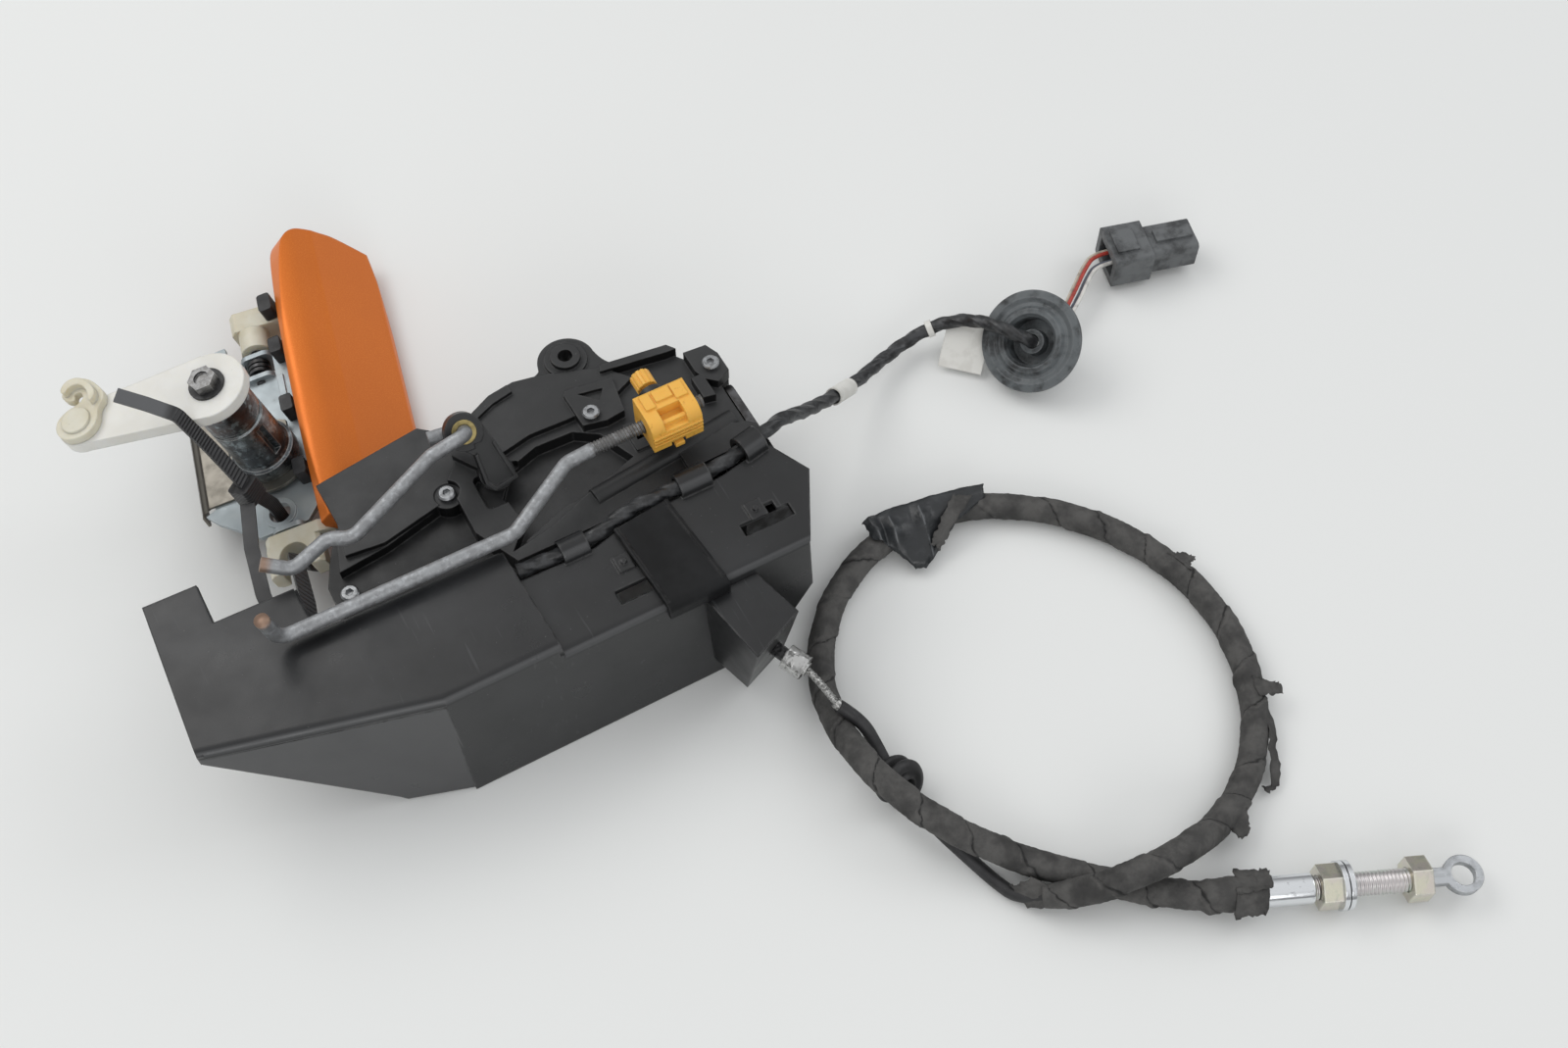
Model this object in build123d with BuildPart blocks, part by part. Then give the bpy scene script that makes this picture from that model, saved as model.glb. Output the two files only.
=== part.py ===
from build123d import *
from math import radians, degrees, tan, sin, cos, acos
import os

os.makedirs("parts", exist_ok=True)

# Door latch actuator with its outside handle, harness and release cable, as it lies on a table.
# Millimetres. Origin: centre of the face plate's three-bolt pattern, on the plate's outer face.
# X points out of the face plate, Y runs along the longest extent, Z points up from the table.

TABLE = -24.0          # height of the table under the origin
WALL = 2.0             # moulded wall
SHEET = 2.0            # pressed steel
RUN = 0.05             # radial running clearance

# Face plate and latch
PLATE_T = 3.0
PLATE_Y = 54.0
PLATE_Z = 45.0
BOLT_PCD = 40.0
BOLT_R = 2.5
SLOT_Y = 2.75
SLOT_W = 12.0
SLOT_TOP = 11.4
CLAW_C = (-10.5, 0.0)
CLAW_R = 21.0
CLAW_PIN_R = 4.0
PAWL_C = (CLAW_C[0] + CLAW_R + 5.0, -9.0)
PAWL_PIN_R = 3.0

# Rods and levers
ROD_R = 2.45
LOCK_AXIS = Vector(0, -0.70711, 0.70711)
LOCK_PIVOT = Vector(-88.1, 28.0, 25.3)
EYE = LOCK_PIVOT + Vector(-5.5, 12.728, 12.728)
LOCK_PIN_R = 3.0
RELEASE_PIVOT = (-32.0, 20.0)
RELEASE_EYE = (-32.0, 41.0)

# Cords
HARNESS_D = 5.5
WRAP_D = 10.0
JACKET_D = 4.6
INNER_D = 2.5
STUB_D = 5.0

# Handle frame: the bracket's own plane, turned and leaning on the table
HANDLE = Plane(origin=(-152.6, 89.6, 0.0), x_dir=(0.96025, -0.19537, 0.19937),
               z_dir=(-0.19537, 0.03975, 0.97992))
HINGE_X = 1.0
HINGE_Z = -1.5
HINGE_R = 2.2
BARREL_R = 10.0


def at_handle(x, y, z):
    return HANDLE.from_local_coords(Vector(x, y, z))


def handle_plane(x, y, z, z_dir=(0, 0, 1), x_dir=(1, 0, 0)):
    # A plane given in the handle frame
    origin = at_handle(x, y, z)
    z_tip = at_handle(x + z_dir[0], y + z_dir[1], z + z_dir[2])
    x_tip = at_handle(x + x_dir[0], y + x_dir[1], z + x_dir[2])
    return Plane(origin=origin, x_dir=x_tip - origin, z_dir=z_tip - origin)


def bends(points, share=0.45, top=60.0):
    # The bend radius at each inner point, from the shorter run beside it
    radii = []
    for a, b, c in zip(points, points[1:], points[2:]):
        before = Vector(*b) - Vector(*a)
        after = Vector(*c) - Vector(*b)
        turn = radians(before.get_angle(after))
        run = min(before.length, after.length)
        radii.append(min(top, share * run / tan(turn / 2)))
    return radii


def start_plane(points):
    return Plane(origin=points[0], z_dir=Vector(*points[1]) - Vector(*points[0]))


# Steel face plate with the striker slot and three tapped holes
with BuildPart() as face_plate:
    with BuildSketch(Plane.YZ.offset(-PLATE_T)):
        RectangleRounded(PLATE_Y, PLATE_Z, 5)
        with Locations((SLOT_Y, (SLOT_TOP - 30) / 2)):
            Rectangle(SLOT_W, SLOT_TOP + 30 - SLOT_W, mode=Mode.SUBTRACT)
        with Locations((SLOT_Y, SLOT_TOP - SLOT_W)):
            Circle(SLOT_W / 2, mode=Mode.SUBTRACT)
        with PolarLocations(BOLT_PCD / 2, 3):
            Circle(BOLT_R, mode=Mode.SUBTRACT)
        with Locations(CLAW_C):
            Circle(CLAW_PIN_R, mode=Mode.SUBTRACT)
        with Locations(PAWL_C):
            Circle(PAWL_PIN_R, mode=Mode.SUBTRACT)
    extrude(amount=PLATE_T)
face_plate.part.label = "face_plate"

# Channel behind the face plate, open towards it
with BuildPart() as latch_frame:
    with BuildSketch(Plane.YZ.offset(-22)):
        with Locations((0, -2)):
            Rectangle(PLATE_Y, 41)
        with Locations((SLOT_Y, (SLOT_TOP - 30) / 2)):
            Rectangle(SLOT_W, SLOT_TOP + 30 - SLOT_W, mode=Mode.SUBTRACT)
        with Locations((SLOT_Y, SLOT_TOP - SLOT_W)):
            Circle(SLOT_W / 2, mode=Mode.SUBTRACT)
        with Locations(CLAW_C):
            Circle(CLAW_PIN_R, mode=Mode.SUBTRACT)
        with Locations(PAWL_C):
            Circle(PAWL_PIN_R, mode=Mode.SUBTRACT)
    extrude(amount=SHEET)
    with BuildSketch(Plane.YZ.offset(-20)):
        with Locations((PLATE_Y / 2 - SHEET / 2, -2), (-PLATE_Y / 2 + SHEET / 2, -2)):
            Rectangle(SHEET, 41)
    extrude(amount=20 - PLATE_T)
latch_frame.part.label = "latch_frame"

# Claw: a sector round its pin, with the striker notch
with BuildPart() as claw:
    with BuildSketch(Plane.YZ.offset(-15)):
        with BuildLine():
            l1 = Line(CLAW_C, (CLAW_C[0] + CLAW_R * cos(radians(-110)), CLAW_C[1] + CLAW_R * sin(radians(-110))))
            l2 = CenterArc(CLAW_C, CLAW_R, -110, 145)
            l3 = Line(l2 @ 1, CLAW_C)
        make_face()
        with Locations(CLAW_C):
            Circle(8.5)
        with Locations((2.0, -19.6)):
            Rectangle(9, 26.4, mode=Mode.SUBTRACT)
        with Locations((2.0, -6.4)):
            Circle(4.5, mode=Mode.SUBTRACT)
        with Locations(CLAW_C):
            Circle(CLAW_PIN_R + RUN, mode=Mode.SUBTRACT)
    extrude(amount=6)
claw.part.label = "claw"

with BuildPart() as claw_pin:
    with BuildSketch(Plane.YZ.offset(-22)):
        with Locations(CLAW_C):
            Circle(CLAW_PIN_R)
    extrude(amount=22)
claw_pin.part.label = "claw_pin"

with BuildPart() as claw_spring:
    with BuildSketch(Plane.YZ.offset(-19.5)):
        with Locations(CLAW_C):
            Circle(7.2)
            Circle(5.6, mode=Mode.SUBTRACT)
        with Locations((CLAW_C[0] - 7.4, CLAW_C[1] - 6.4)):
            Rectangle(1.6, 13)
    extrude(amount=3.4)
claw_spring.part.label = "claw_spring"

# Pawl: hub with a nose that holds the claw's rim
PAWL_NOSE = [(-4.8, 2.8), (-4.6, 12.0), (-5.6, 16.3), (-2.5, 19.2), (0.1, 17.5), (5.1, 1.5), (0.0, 0.0)]
with BuildPart() as pawl:
    with BuildSketch(Plane.YZ.offset(-15)):
        with Locations(PAWL_C):
            Circle(5.5)
        with BuildLine():
            Polyline(*[(PAWL_C[0] + y, PAWL_C[1] + z) for y, z in PAWL_NOSE], close=True)
        make_face()
        with Locations(PAWL_C):
            Circle(PAWL_PIN_R + RUN, mode=Mode.SUBTRACT)
    extrude(amount=6)
pawl.part.label = "pawl"

with BuildPart() as pawl_pin:
    with BuildSketch(Plane.YZ.offset(-22)):
        with Locations(PAWL_C):
            Circle(PAWL_PIN_R)
    extrude(amount=22)
pawl_pin.part.label = "pawl_pin"

with BuildPart() as pawl_spring:
    with BuildSketch(Plane.YZ.offset(-19.5)):
        with Locations(PAWL_C):
            Circle(5.6)
            Circle(4.2, mode=Mode.SUBTRACT)
        with Locations((PAWL_C[0] + 5.0, PAWL_C[1] + 6.0)):
            Rectangle(1.4, 12)
    extrude(amount=3.4)
pawl_spring.part.label = "pawl_spring"

# Hollow tray of the case
CASE_OUTLINE = [(-154.5, 11), (-155, 20.5), (-151.5, 28.5), (-147, 37), (-100, 40.5), (-94, 53), (-87, 55.5),
                (-78, 60), (-68, 61.5), (-58, 59.5), (-38, 52.5), (-14, 49), (-9.8, 43), (-1, 42.3),
                (1.2, 37), (1.2, 29.2), (-22.6, 29.2), (-22.6, -5), (-140, -5)]
with BuildPart() as case_base:
    with BuildSketch(Plane.XY.offset(-12)):
        with BuildLine():
            Polyline(*CASE_OUTLINE, close=True)
        make_face()
    extrude(amount=16)
    with BuildSketch(Plane.XY.offset(-10)):
        with BuildLine():
            Polyline(*CASE_OUTLINE, close=True)
        make_face()
        offset(amount=-WALL, mode=Mode.REPLACE, kind=Kind.INTERSECTION)
    extrude(amount=16, mode=Mode.SUBTRACT)
    # Seats that carry the motor and the wheel pin
    with BuildSketch(Plane.XY.offset(-10.5)):
        with Locations((-128.5, 10)):
            Rectangle(22, 12)
        with Locations((-106, 23.1)):
            Circle(4)
    extrude(amount=4.5)
    with BuildSketch(Plane.XY.offset(-12)):
        with Locations((-106, 23.1)):
            Circle(2)
    extrude(amount=8, mode=Mode.SUBTRACT)
case_base.part.label = "case_base"

# Case cover: lobe, wing, main plateau, rim, ear, ribs and screw bosses
LOBE = [(-154.5, 11), (-155, 20.5), (-151.5, 28.5), (-147, 37), (-100, 40.5), (-88, 28), (-84, 10), (-96, -5), (-140, -5)]
MAIN = [(-104, 36), (-100, 40.5), (-94, 53), (-87, 55.5), (-78, 60), (-68, 61.5), (-58, 59.5), (-38, 52.5),
        (-14, 49), (-9.8, 43), (-1, 42.3), (1.2, 37), (1.2, 29.2), (-3.3, 27.6), (-3.3, -2.6),
        (-22.6, -5), (-96, -5), (-104, 12)]
RIM = [(-99, 43), (-94, 53), (-87, 55.5), (-78, 60), (-68, 61.5), (-58, 59.5), (-38, 52.5), (-30, 43), (-41, 38),
       (-58, 37.5), (-72, 38), (-86, 35), (-93, 33.5)]
INNER = [(-96, -1), (-88, 8), (-90, 22), (-84, 30), (-72, 34), (-58, 33.6), (-50, 28), (-44, 14), (-64, 8), (-80, 2)]
with BuildPart() as case_cover:
    with BuildSketch(Plane.XY.offset(4.3)):
        with BuildLine():
            Polyline(*LOBE, close=True)
        make_face()
    extrude(amount=9.7)
    with BuildSketch(Plane.XY.offset(4.3)):
        with BuildLine():
            Polyline(*[p for p in MAIN], close=True)
        make_face()
    extrude(amount=17.7)
    # The right end stands over the latch channel
    with BuildSketch(Plane.XY.offset(4)):
        with Locations((-5, 5)):
            Rectangle(35.2, 48.4)
    extrude(amount=15.6, mode=Mode.SUBTRACT)
    # Sunk middle field between the curved ribs
    with BuildSketch(Plane.XY.offset(16.5)):
        with BuildLine():
            Polyline(*INNER, close=True)
        make_face()
    extrude(amount=10, mode=Mode.SUBTRACT)
    # Hollow underneath
    with BuildSketch(Plane.XY.offset(4)):
        with BuildLine():
            Polyline(*LOBE, close=True)
        make_face()
        offset(amount=-WALL, mode=Mode.REPLACE, kind=Kind.INTERSECTION)
    extrude(amount=8, mode=Mode.SUBTRACT)
    with BuildSketch(Plane.XY.offset(4)):
        with BuildLine():
            Polyline((-101, 36), (-92, 51), (-78, 57.5), (-66, 59), (-39, 50.5), (-15.5, 47), (-11.5, 41), (-3, 40),
                     (-1, 35), (-1, 31.3), (-24.8, 31.3), (-24.8, -2.8), (-94, -2.8), (-101, 12), close=True)
        make_face()
    extrude(amount=10.5, mode=Mode.SUBTRACT)
    with BuildSketch(Plane.XY.offset(12)):
        with BuildLine():
            Polyline((-88, 38), (-90, 50), (-78, 56.5), (-66, 58), (-50, 53.5), (-50, 39), (-70, 40), close=True)
        make_face()
    extrude(amount=8, mode=Mode.SUBTRACT)
    # Wing plate and its sloped flap at the left
    with BuildSketch(Plane.XY.offset(17.5)):
        with BuildLine():
            Polyline((-145.5, 26), (-143.2, 39.6), (-144, 57), (-140.6, 57.6), (-104.6, 62.7), (-94, 53.5),
                     (-98, 36), (-110, 29.5), (-132, 24.5), close=True)
        make_face()
    extrude(amount=2.5)
    with BuildSketch(Plane.XY.offset(13)):
        with BuildLine():
            Polyline((-149.5, 22), (-144.6, 38.4), (-120, 38.4), (-104, 36), (-110, 29.5), (-132, 24), close=True)
        make_face()
    extrude(amount=5)
    # Raised rim along the far side
    with BuildSketch(Plane.XY.offset(21)):
        with BuildLine():
            Polyline(*RIM, close=True)
        make_face()
    extrude(amount=3.5)
    with BuildSketch(Plane.XY.offset(21)):
        with BuildLine():
            Polyline((-86.5, 51.5), (-85.8, 55), (-78, 59), (-70.5, 60.2), (-70, 56.8), (-78, 55.2), close=True)
        make_face()
    extrude(amount=5)
    # Hanging ear with a raised hub
    with BuildSketch(Plane.XY.offset(17)):
        with Locations((-47, 61.6)):
            Circle(10.4)
        with BuildLine():
            l1 = Spline((-68, 57), (-62, 60.2), (-57.4, 62.6), tangents=((1, 0.1), (0.6, 1)))
            l2 = Line(l1 @ 1, (-37, 64.6))
            l3 = Spline(l2 @ 1, (-35.6, 57.4), (-31, 52), tangents=((0.1, -1), (1, -0.4)))
            l4 = Line(l3 @ 1, l1 @ 0)
        make_face()
    extrude(amount=6)
    with BuildSketch(Plane.XY.offset(22)):
        with Locations((-47, 62)):
            Circle(7.8)
    extrude(amount=2.2)
    with BuildSketch(Plane.XY.offset(22)):
        with Locations((-47, 62)):
            Circle(5.4)
    extrude(amount=4)
    with BuildSketch(Plane.XY.offset(16)):
        with Locations((-47, 62)):
            Circle(2.6)
    extrude(amount=12, mode=Mode.SUBTRACT)
    # Long rail on the far edge and the screw block at the right
    with BuildSketch(Plane.XY.offset(21)):
        with BuildLine():
            Polyline((-39.3, 49.6), (-38.3, 52.4), (-13.5, 49), (-11.2, 45.8), (-15, 46), close=True)
        make_face()
        with BuildLine():
            Polyline((-9.8, 33.5), (-9.8, 42.8), (-1.2, 42.1), (1, 36.8), (1, 28.4), (-4.6, 25.6), (-8.2, 29), close=True)
        make_face()
        with BuildLine():
            Polyline((-12.4, 31.5), (-8, 31.5), (-8, 21), (-12.4, 22), close=True)
        make_face()
    extrude(amount=5)
    # Web ribs beside the second screw
    with BuildSketch(Plane.XY.offset(21)):
        with BuildLine():
            Polyline((-55, 46.5), (-53.5, 48.2), (-36.6, 45.6), (-39, 30.4), (-46, 29.6), (-54.5, 31.5), close=True)
        make_face()
        with BuildLine():
            Polyline((-50.5, 44.5), (-41.5, 42.8), (-44.6, 38.6), close=True)
        make_face(mode=Mode.SUBTRACT)
    extrude(amount=5)
    # Bosses of the screws, above the hollow
    with BuildSketch(Plane.XY.offset(12)):
        with Locations((-106.1, 31.9)):
            Circle(5.4)
    extrude(amount=7.6)
    with BuildSketch(Plane.XY.offset(8)):
        with Locations((-149.3, 14.7)):
            Circle(3.4)
    extrude(amount=5)
    with BuildSketch(Plane.XY.offset(8)):
        with Locations((-49.9, 34.4), (-3.6, 33.4)):
            Circle(4)
    extrude(amount=8)
    # Near ledge and the long rounded rail along it
    with BuildSketch(Plane.XY.offset(15.5)):
        with BuildLine():
            Polyline((-92.5, -4), (-70, 2.6), (-44, 5), (-30, 6.4), (-30, 10.6), (-46, 9.4), (-73, 8.2), (-90, 2),
                     close=True)
        make_face()
    extrude(amount=4.5)
    with BuildSketch(Plane(origin=(-63, 5.4, 20), x_dir=(-6.6, 57.4, 0), z_dir=(57.4, 6.6, 0))):
        Circle(4.1)
    extrude(amount=57.4)
    # Flange that stands over the face plate's edge
    with BuildSketch(Plane.XY.offset(21)):
        with BuildLine():
            Polyline((-30, -1), (-30, 6.4), (-8, 9), (-3.3, 7), (-3.3, -0.6), close=True)
        make_face()
    extrude(amount=2.6)
    with BuildSketch(Plane.XY.offset(22.8)):
        with BuildLine():
            Polyline((-8, 9), (-3.6, 7.6), (-0.3, 4.6), (-0.8, 0.2), (-8, -0.6), close=True)
        make_face()
    extrude(amount=0.8)
    # Groove under the harness clip at the corner
    with BuildSketch(Plane(origin=(-13.6, -5.1, 26.7), x_dir=(-2.5, 12, 0), z_dir=(12, 2.5, 0))):
        Circle(5.7)
    extrude(amount=15, mode=Mode.SUBTRACT)
    # Pocket round the first screw
    with BuildSketch(Plane.XY.offset(19.6)):
        with Locations((-106.1, 31.9)):
            Circle(4.6)
    extrude(amount=3, mode=Mode.SUBTRACT)
    # Pocket that the lock lever's foot swings in
    with BuildSketch(Plane.XY.offset(18.5)):
        with Locations((LOCK_PIVOT.X, 25.2)):
            RectangleRounded(17, 14.6, 2)
    extrude(amount=8, mode=Mode.SUBTRACT)
    # Boss under the lock lever, square to its pin
    with BuildSketch(Plane(origin=LOCK_PIVOT - LOCK_AXIS * 13, x_dir=(1, 0, 0), z_dir=LOCK_AXIS)):
        Circle(6.2)
    extrude(amount=10.6)
    with BuildSketch(Plane(origin=LOCK_PIVOT - LOCK_AXIS * 10, x_dir=(1, 0, 0), z_dir=LOCK_AXIS)):
        Circle(LOCK_PIN_R)
    extrude(amount=12, mode=Mode.SUBTRACT)
    # Solid block and pocket of the release lever
    with BuildSketch(Plane.XY.offset(9)):
        with Locations((-32, 21)):
            Rectangle(20, 12)
    extrude(amount=14)
    with BuildSketch(Plane.XY.offset(12.5)):
        with Locations((-32, 21)):
            Rectangle(15.4, 4)
    extrude(amount=12, mode=Mode.SUBTRACT)
    with BuildSketch(Plane.XZ.offset(-25.5)):
        with Locations(RELEASE_PIVOT):
            Circle(2)
    extrude(amount=9, mode=Mode.SUBTRACT)
    # Screw holes
    with Locations((-106.1, 31.9, 20), (-49.9, 34.4, 26), (-3.6, 33.4, 26), (-149.3, 14.7, 14)):
        Hole(1.5, 9)
    # Openings that let the pawl and claw stay clear under the right end
    with BuildSketch(Plane.XY.offset(4)):
        with Locations((-9.8, 10)):
            Rectangle(25.4, 37.8)
    extrude(amount=15.4, mode=Mode.SUBTRACT)
    with BuildSketch(Plane.YZ.offset(-16.5)):
        with Locations(CLAW_C):
            Circle(CLAW_R + 1)
    extrude(amount=9, mode=Mode.SUBTRACT)
case_cover.part.label = "case_cover"

# Four screws alike: pan head with a six-lobe drive
with BuildPart() as cover_screws:
    for x, y, z in ((-106.1, 31.9, 19.6), (-49.9, 34.4, 26), (-3.6, 33.4, 26), (-149.3, 14.7, 14)):
        with BuildSketch(Plane.XY.offset(z)):
            with Locations((x, y)):
                Circle(3.15)
        extrude(amount=2.1)
        with BuildSketch(Plane.XY.offset(z - 8)):
            with Locations((x, y)):
                Circle(1.5)
        extrude(amount=8)
        with BuildSketch(Plane.XY.offset(z + 0.9)):
            with Locations((x, y)):
                RegularPolygon(1.45, 6)
        extrude(amount=2, mode=Mode.SUBTRACT)
    chamfer(cover_screws.edges().filter_by(GeomType.CIRCLE).group_by(SortBy.RADIUS)[-1].filter_by(
        lambda e: min(abs(e.center().Z - t) for t in (21.7, 28.1, 16.1)) < 0.05), 0.6)
cover_screws.part.label = "cover_screws"

# Shield: top panels at two levels, slanted front wall, facet at the left
ROLL = 3.0
with BuildPart() as shield:
    with BuildSketch(Plane.XY.offset(29)):
        with BuildLine():
            Polyline((-210, 32), (-192, 31.6), (-192, 15.7), (-165, 15.2), (-164.4, -3), (-101.6, -4.6),
                     (-99.2, -45.95), (-138.5, -45.95), (-212, -26.3), close=True)
        make_face()
    extrude(amount=WALL)
    with BuildSketch(Plane.XY.offset(24)):
        with BuildLine():
            Polyline((-101.6, -14.6), (-87, -15.2), (-72, -15), (-57, -11.2), (-43, -10.9), (-22, -10.2),
                     (-10, -7.8), (-2.2, -6.6), (5.2, -22.1), (-8.1, -46.5), (-99.4, -46.5), close=True)
        make_face()
        with Locations((-67.5, -36)):
            Rectangle(13, 5.4, mode=Mode.SUBTRACT)
        with Locations((-17.2, -33)):
            Rectangle(18.5, 5, mode=Mode.SUBTRACT)
            with Locations((2, 4)):
                Rectangle(6, 4, mode=Mode.SUBTRACT)
    extrude(amount=WALL)
    # Step between the levels
    with BuildSketch(Plane.XY.offset(24)):
        with BuildLine():
            Polyline((-102.4, -5), (-100.4, -5), (-98.2, -46), (-100.4, -46), close=True)
        make_face()
    extrude(amount=7)
    # Slanted front wall under both levels
    with BuildSketch(Plane.YZ.offset(-139)):
        with BuildLine():
            Polyline((-45.95, 31), (-51.95, -23.6), (-49.95, -23.6), (-43.95, 31), close=True)
        make_face()
    extrude(amount=39.5)
    with BuildSketch(Plane.YZ.offset(-99.6)):
        with BuildLine():
            Polyline((-46.5, 26), (-51.95, -23.6), (-49.95, -23.6), (-44.5, 26), close=True)
        make_face()
    extrude(amount=91.2)
    # The wall's right end rises to its corner
    with BuildSketch(Plane.XZ.offset(40)):
        with BuildLine():
            Polyline((-28, -24.5), (-8.5, 1), (5, 1), (5, -24.5), close=True)
        make_face()
    extrude(amount=20, mode=Mode.SUBTRACT)
    # Facet wall at the left, folded under the left panel
    with BuildSketch(Plane(origin=(-212, -26.3, 31), x_dir=(73.5, -19.65, 0), z_dir=(-0.2654, -0.9609, 0.0798))):
        with BuildLine():
            Polyline((0, 0), (76.1, 0), (78.4, -54.8), (54.6, -53.0), (52.6, -50.6), (0.6, -5.4), close=True)
        make_face()
    extrude(amount=-WALL)
    # Rolled front edges of both levels and of the facet
    with BuildSketch(Plane.YZ.offset(-152)):
        with BuildLine():
            l1 = TangentArc((-45.95 + ROLL, 31), (-45.95 - 0.11 * ROLL, 31 - ROLL), tangent=(-1, 0))
            l2 = Polyline(l1 @ 1, (-49, 31 - ROLL), (-49, 33), (-45.95 + ROLL, 33), l1 @ 0)
        make_face()
    extrude(amount=54, mode=Mode.SUBTRACT)
    with BuildSketch(Plane.YZ.offset(-98.1)):
        with BuildLine():
            l1 = TangentArc((-46.5 + ROLL, 26), (-46.5 - 0.11 * ROLL, 26 - ROLL), tangent=(-1, 0))
            l2 = Polyline(l1 @ 1, (-49.5, 26 - ROLL), (-49.5, 28), (-46.5 + ROLL, 28), l1 @ 0)
        make_face()
    extrude(amount=104, mode=Mode.SUBTRACT)
    with BuildSketch(Plane(origin=(-212.97, -26.04, 31), x_dir=(-0.2583, -0.9661, 0), z_dir=(0.9661, -0.2583, 0))):
        with BuildLine():
            l1 = TangentArc((-ROLL, 0), (0.08 * ROLL, ROLL), tangent=(1, 0))
            l2 = Polyline(l1 @ 1, (3, ROLL), (3, -2), (-ROLL, -2), l1 @ 0)
        make_face()
    extrude(amount=90, mode=Mode.SUBTRACT)
    # Short side wall of the left block and two thin webs at the gap
    with BuildSketch(Plane.XY.offset(25)):
        with BuildLine():
            Polyline((-212, -26.3), (-210, 32), (-208, 32), (-210, -26.8), close=True)
        make_face()
    extrude(amount=5)
    with BuildSketch(Plane.YZ.offset(-193.2)):
        with BuildLine():
            Polyline((31.4, 30), (15.9, 30), (19.5, 25), close=True)
        make_face()
    extrude(amount=1.4)
    with BuildSketch(Plane.YZ.offset(-165.6)):
        with BuildLine():
            Polyline((15, 30), (-2, 30), (4, 22.4), (8, 22.4), close=True)
        make_face()
    extrude(amount=1.4)
    # Tubular clips that hold the harness on the far edge
    for x, y, z, long in ((-83.4, -11.8, 26, 9.4), (-38, -7.4, 26.7, 11.6)):
        with BuildSketch(Plane.YZ.offset(x)):
            with Locations((y, z)):
                Circle(4.6)
                Circle(3.3, mode=Mode.SUBTRACT)
        extrude(amount=long)
    with BuildSketch(Plane(origin=(-12.6, -4.9, 26.7), x_dir=(-2.5, 12, 0), z_dir=(12, 2.5, 0))):
        Circle(5.2)
        Circle(3.4, mode=Mode.SUBTRACT)
    extrude(amount=8.6)
    # Small pads with a pin beside the slots
    with BuildSketch(Plane.XY.offset(25.5)):
        with Locations((-66.6, -25.0)):
            Rectangle(5.6, 6.6)
        with Locations((-18.8, -27.8)):
            Rectangle(6.2, 7)
    extrude(amount=1.3)
    with BuildSketch(Plane.XY.offset(26.5)):
        with Locations((-66.6, -25.0), (-18.8, -27.8)):
            Circle(1.1)
    extrude(amount=1.4)
shield.part.label = "shield"

# Lid folded over the shield's middle
with BuildPart() as shield_lid:
    with BuildSketch(Plane.YZ.offset(-66)):
        with BuildLine():
            l1 = Polyline((-49.3, 21.7), (-47.6, 21.7), (-47.2, 26.02), (-10.5, 26.02), (-10.5, 28.6), (-46.1, 28.6))
            l2 = TangentArc(l1 @ 1, (-49.3, 25.4), tangent=(-1, 0))
            l3 = Line(l2 @ 1, l1 @ 0)
        make_face()
    extrude(amount=30)
    with BuildSketch(Plane.XY.offset(20)):
        with BuildLine():
            Polyline((-64.4, -13.4), (-43.4, -11.0), (-39.6, -50), (-61.6, -50), close=True)
        make_face()
    extrude(amount=10, mode=Mode.INTERSECT)
    # Raised rim along three sides
    with BuildSketch(Plane.XY.offset(28.4)):
        with BuildLine():
            Polyline((-64.2, -13.4), (-62.9, -13.3), (-60.6, -46.9), (-61.8, -46.9), close=True)
        make_face()
        with BuildLine():
            Polyline((-44.8, -11.2), (-43.4, -11.0), (-39.9, -46.9), (-41.2, -46.9), close=True)
        make_face()
    extrude(amount=0.6)
shield_lid.part.label = "shield_lid"

# Horn on the front wall, where the release cable leaves
with BuildPart() as cable_box:
    with BuildSketch(Plane.XY.offset(21.5)):
        with BuildLine():
            Polyline((-48.5, -47.1), (-29, -47.1), (-23.8, -66.5), (-43.6, -75.1), close=True)
        make_face()
    with BuildSketch(Plane.XY.offset(-15)):
        with BuildLine():
            Polyline((-48.0, -51.1), (-30.5, -51.1), (-25.5, -59.0), (-43.5, -66.4), close=True)
        make_face()
    loft(ruled=True)
    with BuildSketch(Plane(origin=(-31.4, -68.8, 3.0), z_dir=(0.4, -0.912, -0.1))):
        Circle(2.8)
    extrude(amount=-16, mode=Mode.SUBTRACT)
cable_box.part.label = "cable_box"

# Lock lever: tongue with an eye and raised borders, square to its slanted pin
LEVER_EYE = (-5.5, 18.0)
with BuildPart() as lock_lever:
    lever_plane = Plane(origin=LOCK_PIVOT - LOCK_AXIS * 2, x_dir=(1, 0, 0), z_dir=LOCK_AXIS)
    with BuildSketch(lever_plane):
        with Locations(LEVER_EYE):
            Circle(6.6)
        Circle(LOCK_PIN_R + 1.8)
        with BuildLine():
            Polyline((-11.4, 15.2), (-5.2, 9.2), (-5.6, -1.6), (-3.4, -4.8), (5.6, -3.4), (3.0, 11.4), (0.9, 19.6),
                     close=True)
        make_face()
    extrude(amount=4)
    with BuildSketch(lever_plane.offset(4)):
        with Locations(LEVER_EYE):
            Circle(6.6)
        with BuildLine():
            Polyline((-5.2, 9.2), (-5.6, -1.6), (-3.4, -4.8), (5.6, -3.4), (3.0, 11.4), close=True)
        make_face()
        with BuildLine():
            Polyline((-4.0, 13.0), (-4.3, -1.2), (-2.7, -3.4), (4.1, -2.4), (1.6, 12.4), close=True)
        make_face(mode=Mode.SUBTRACT)
    extrude(amount=1.2)
    with BuildSketch(lever_plane.offset(-1)):
        with Locations(LEVER_EYE):
            Circle(4.2)
    extrude(amount=8, mode=Mode.SUBTRACT)
    with BuildSketch(lever_plane.offset(-1)):
        Circle(LOCK_PIN_R + RUN)
    extrude(amount=4, mode=Mode.SUBTRACT)
lock_lever.part.label = "lock_lever"

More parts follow.
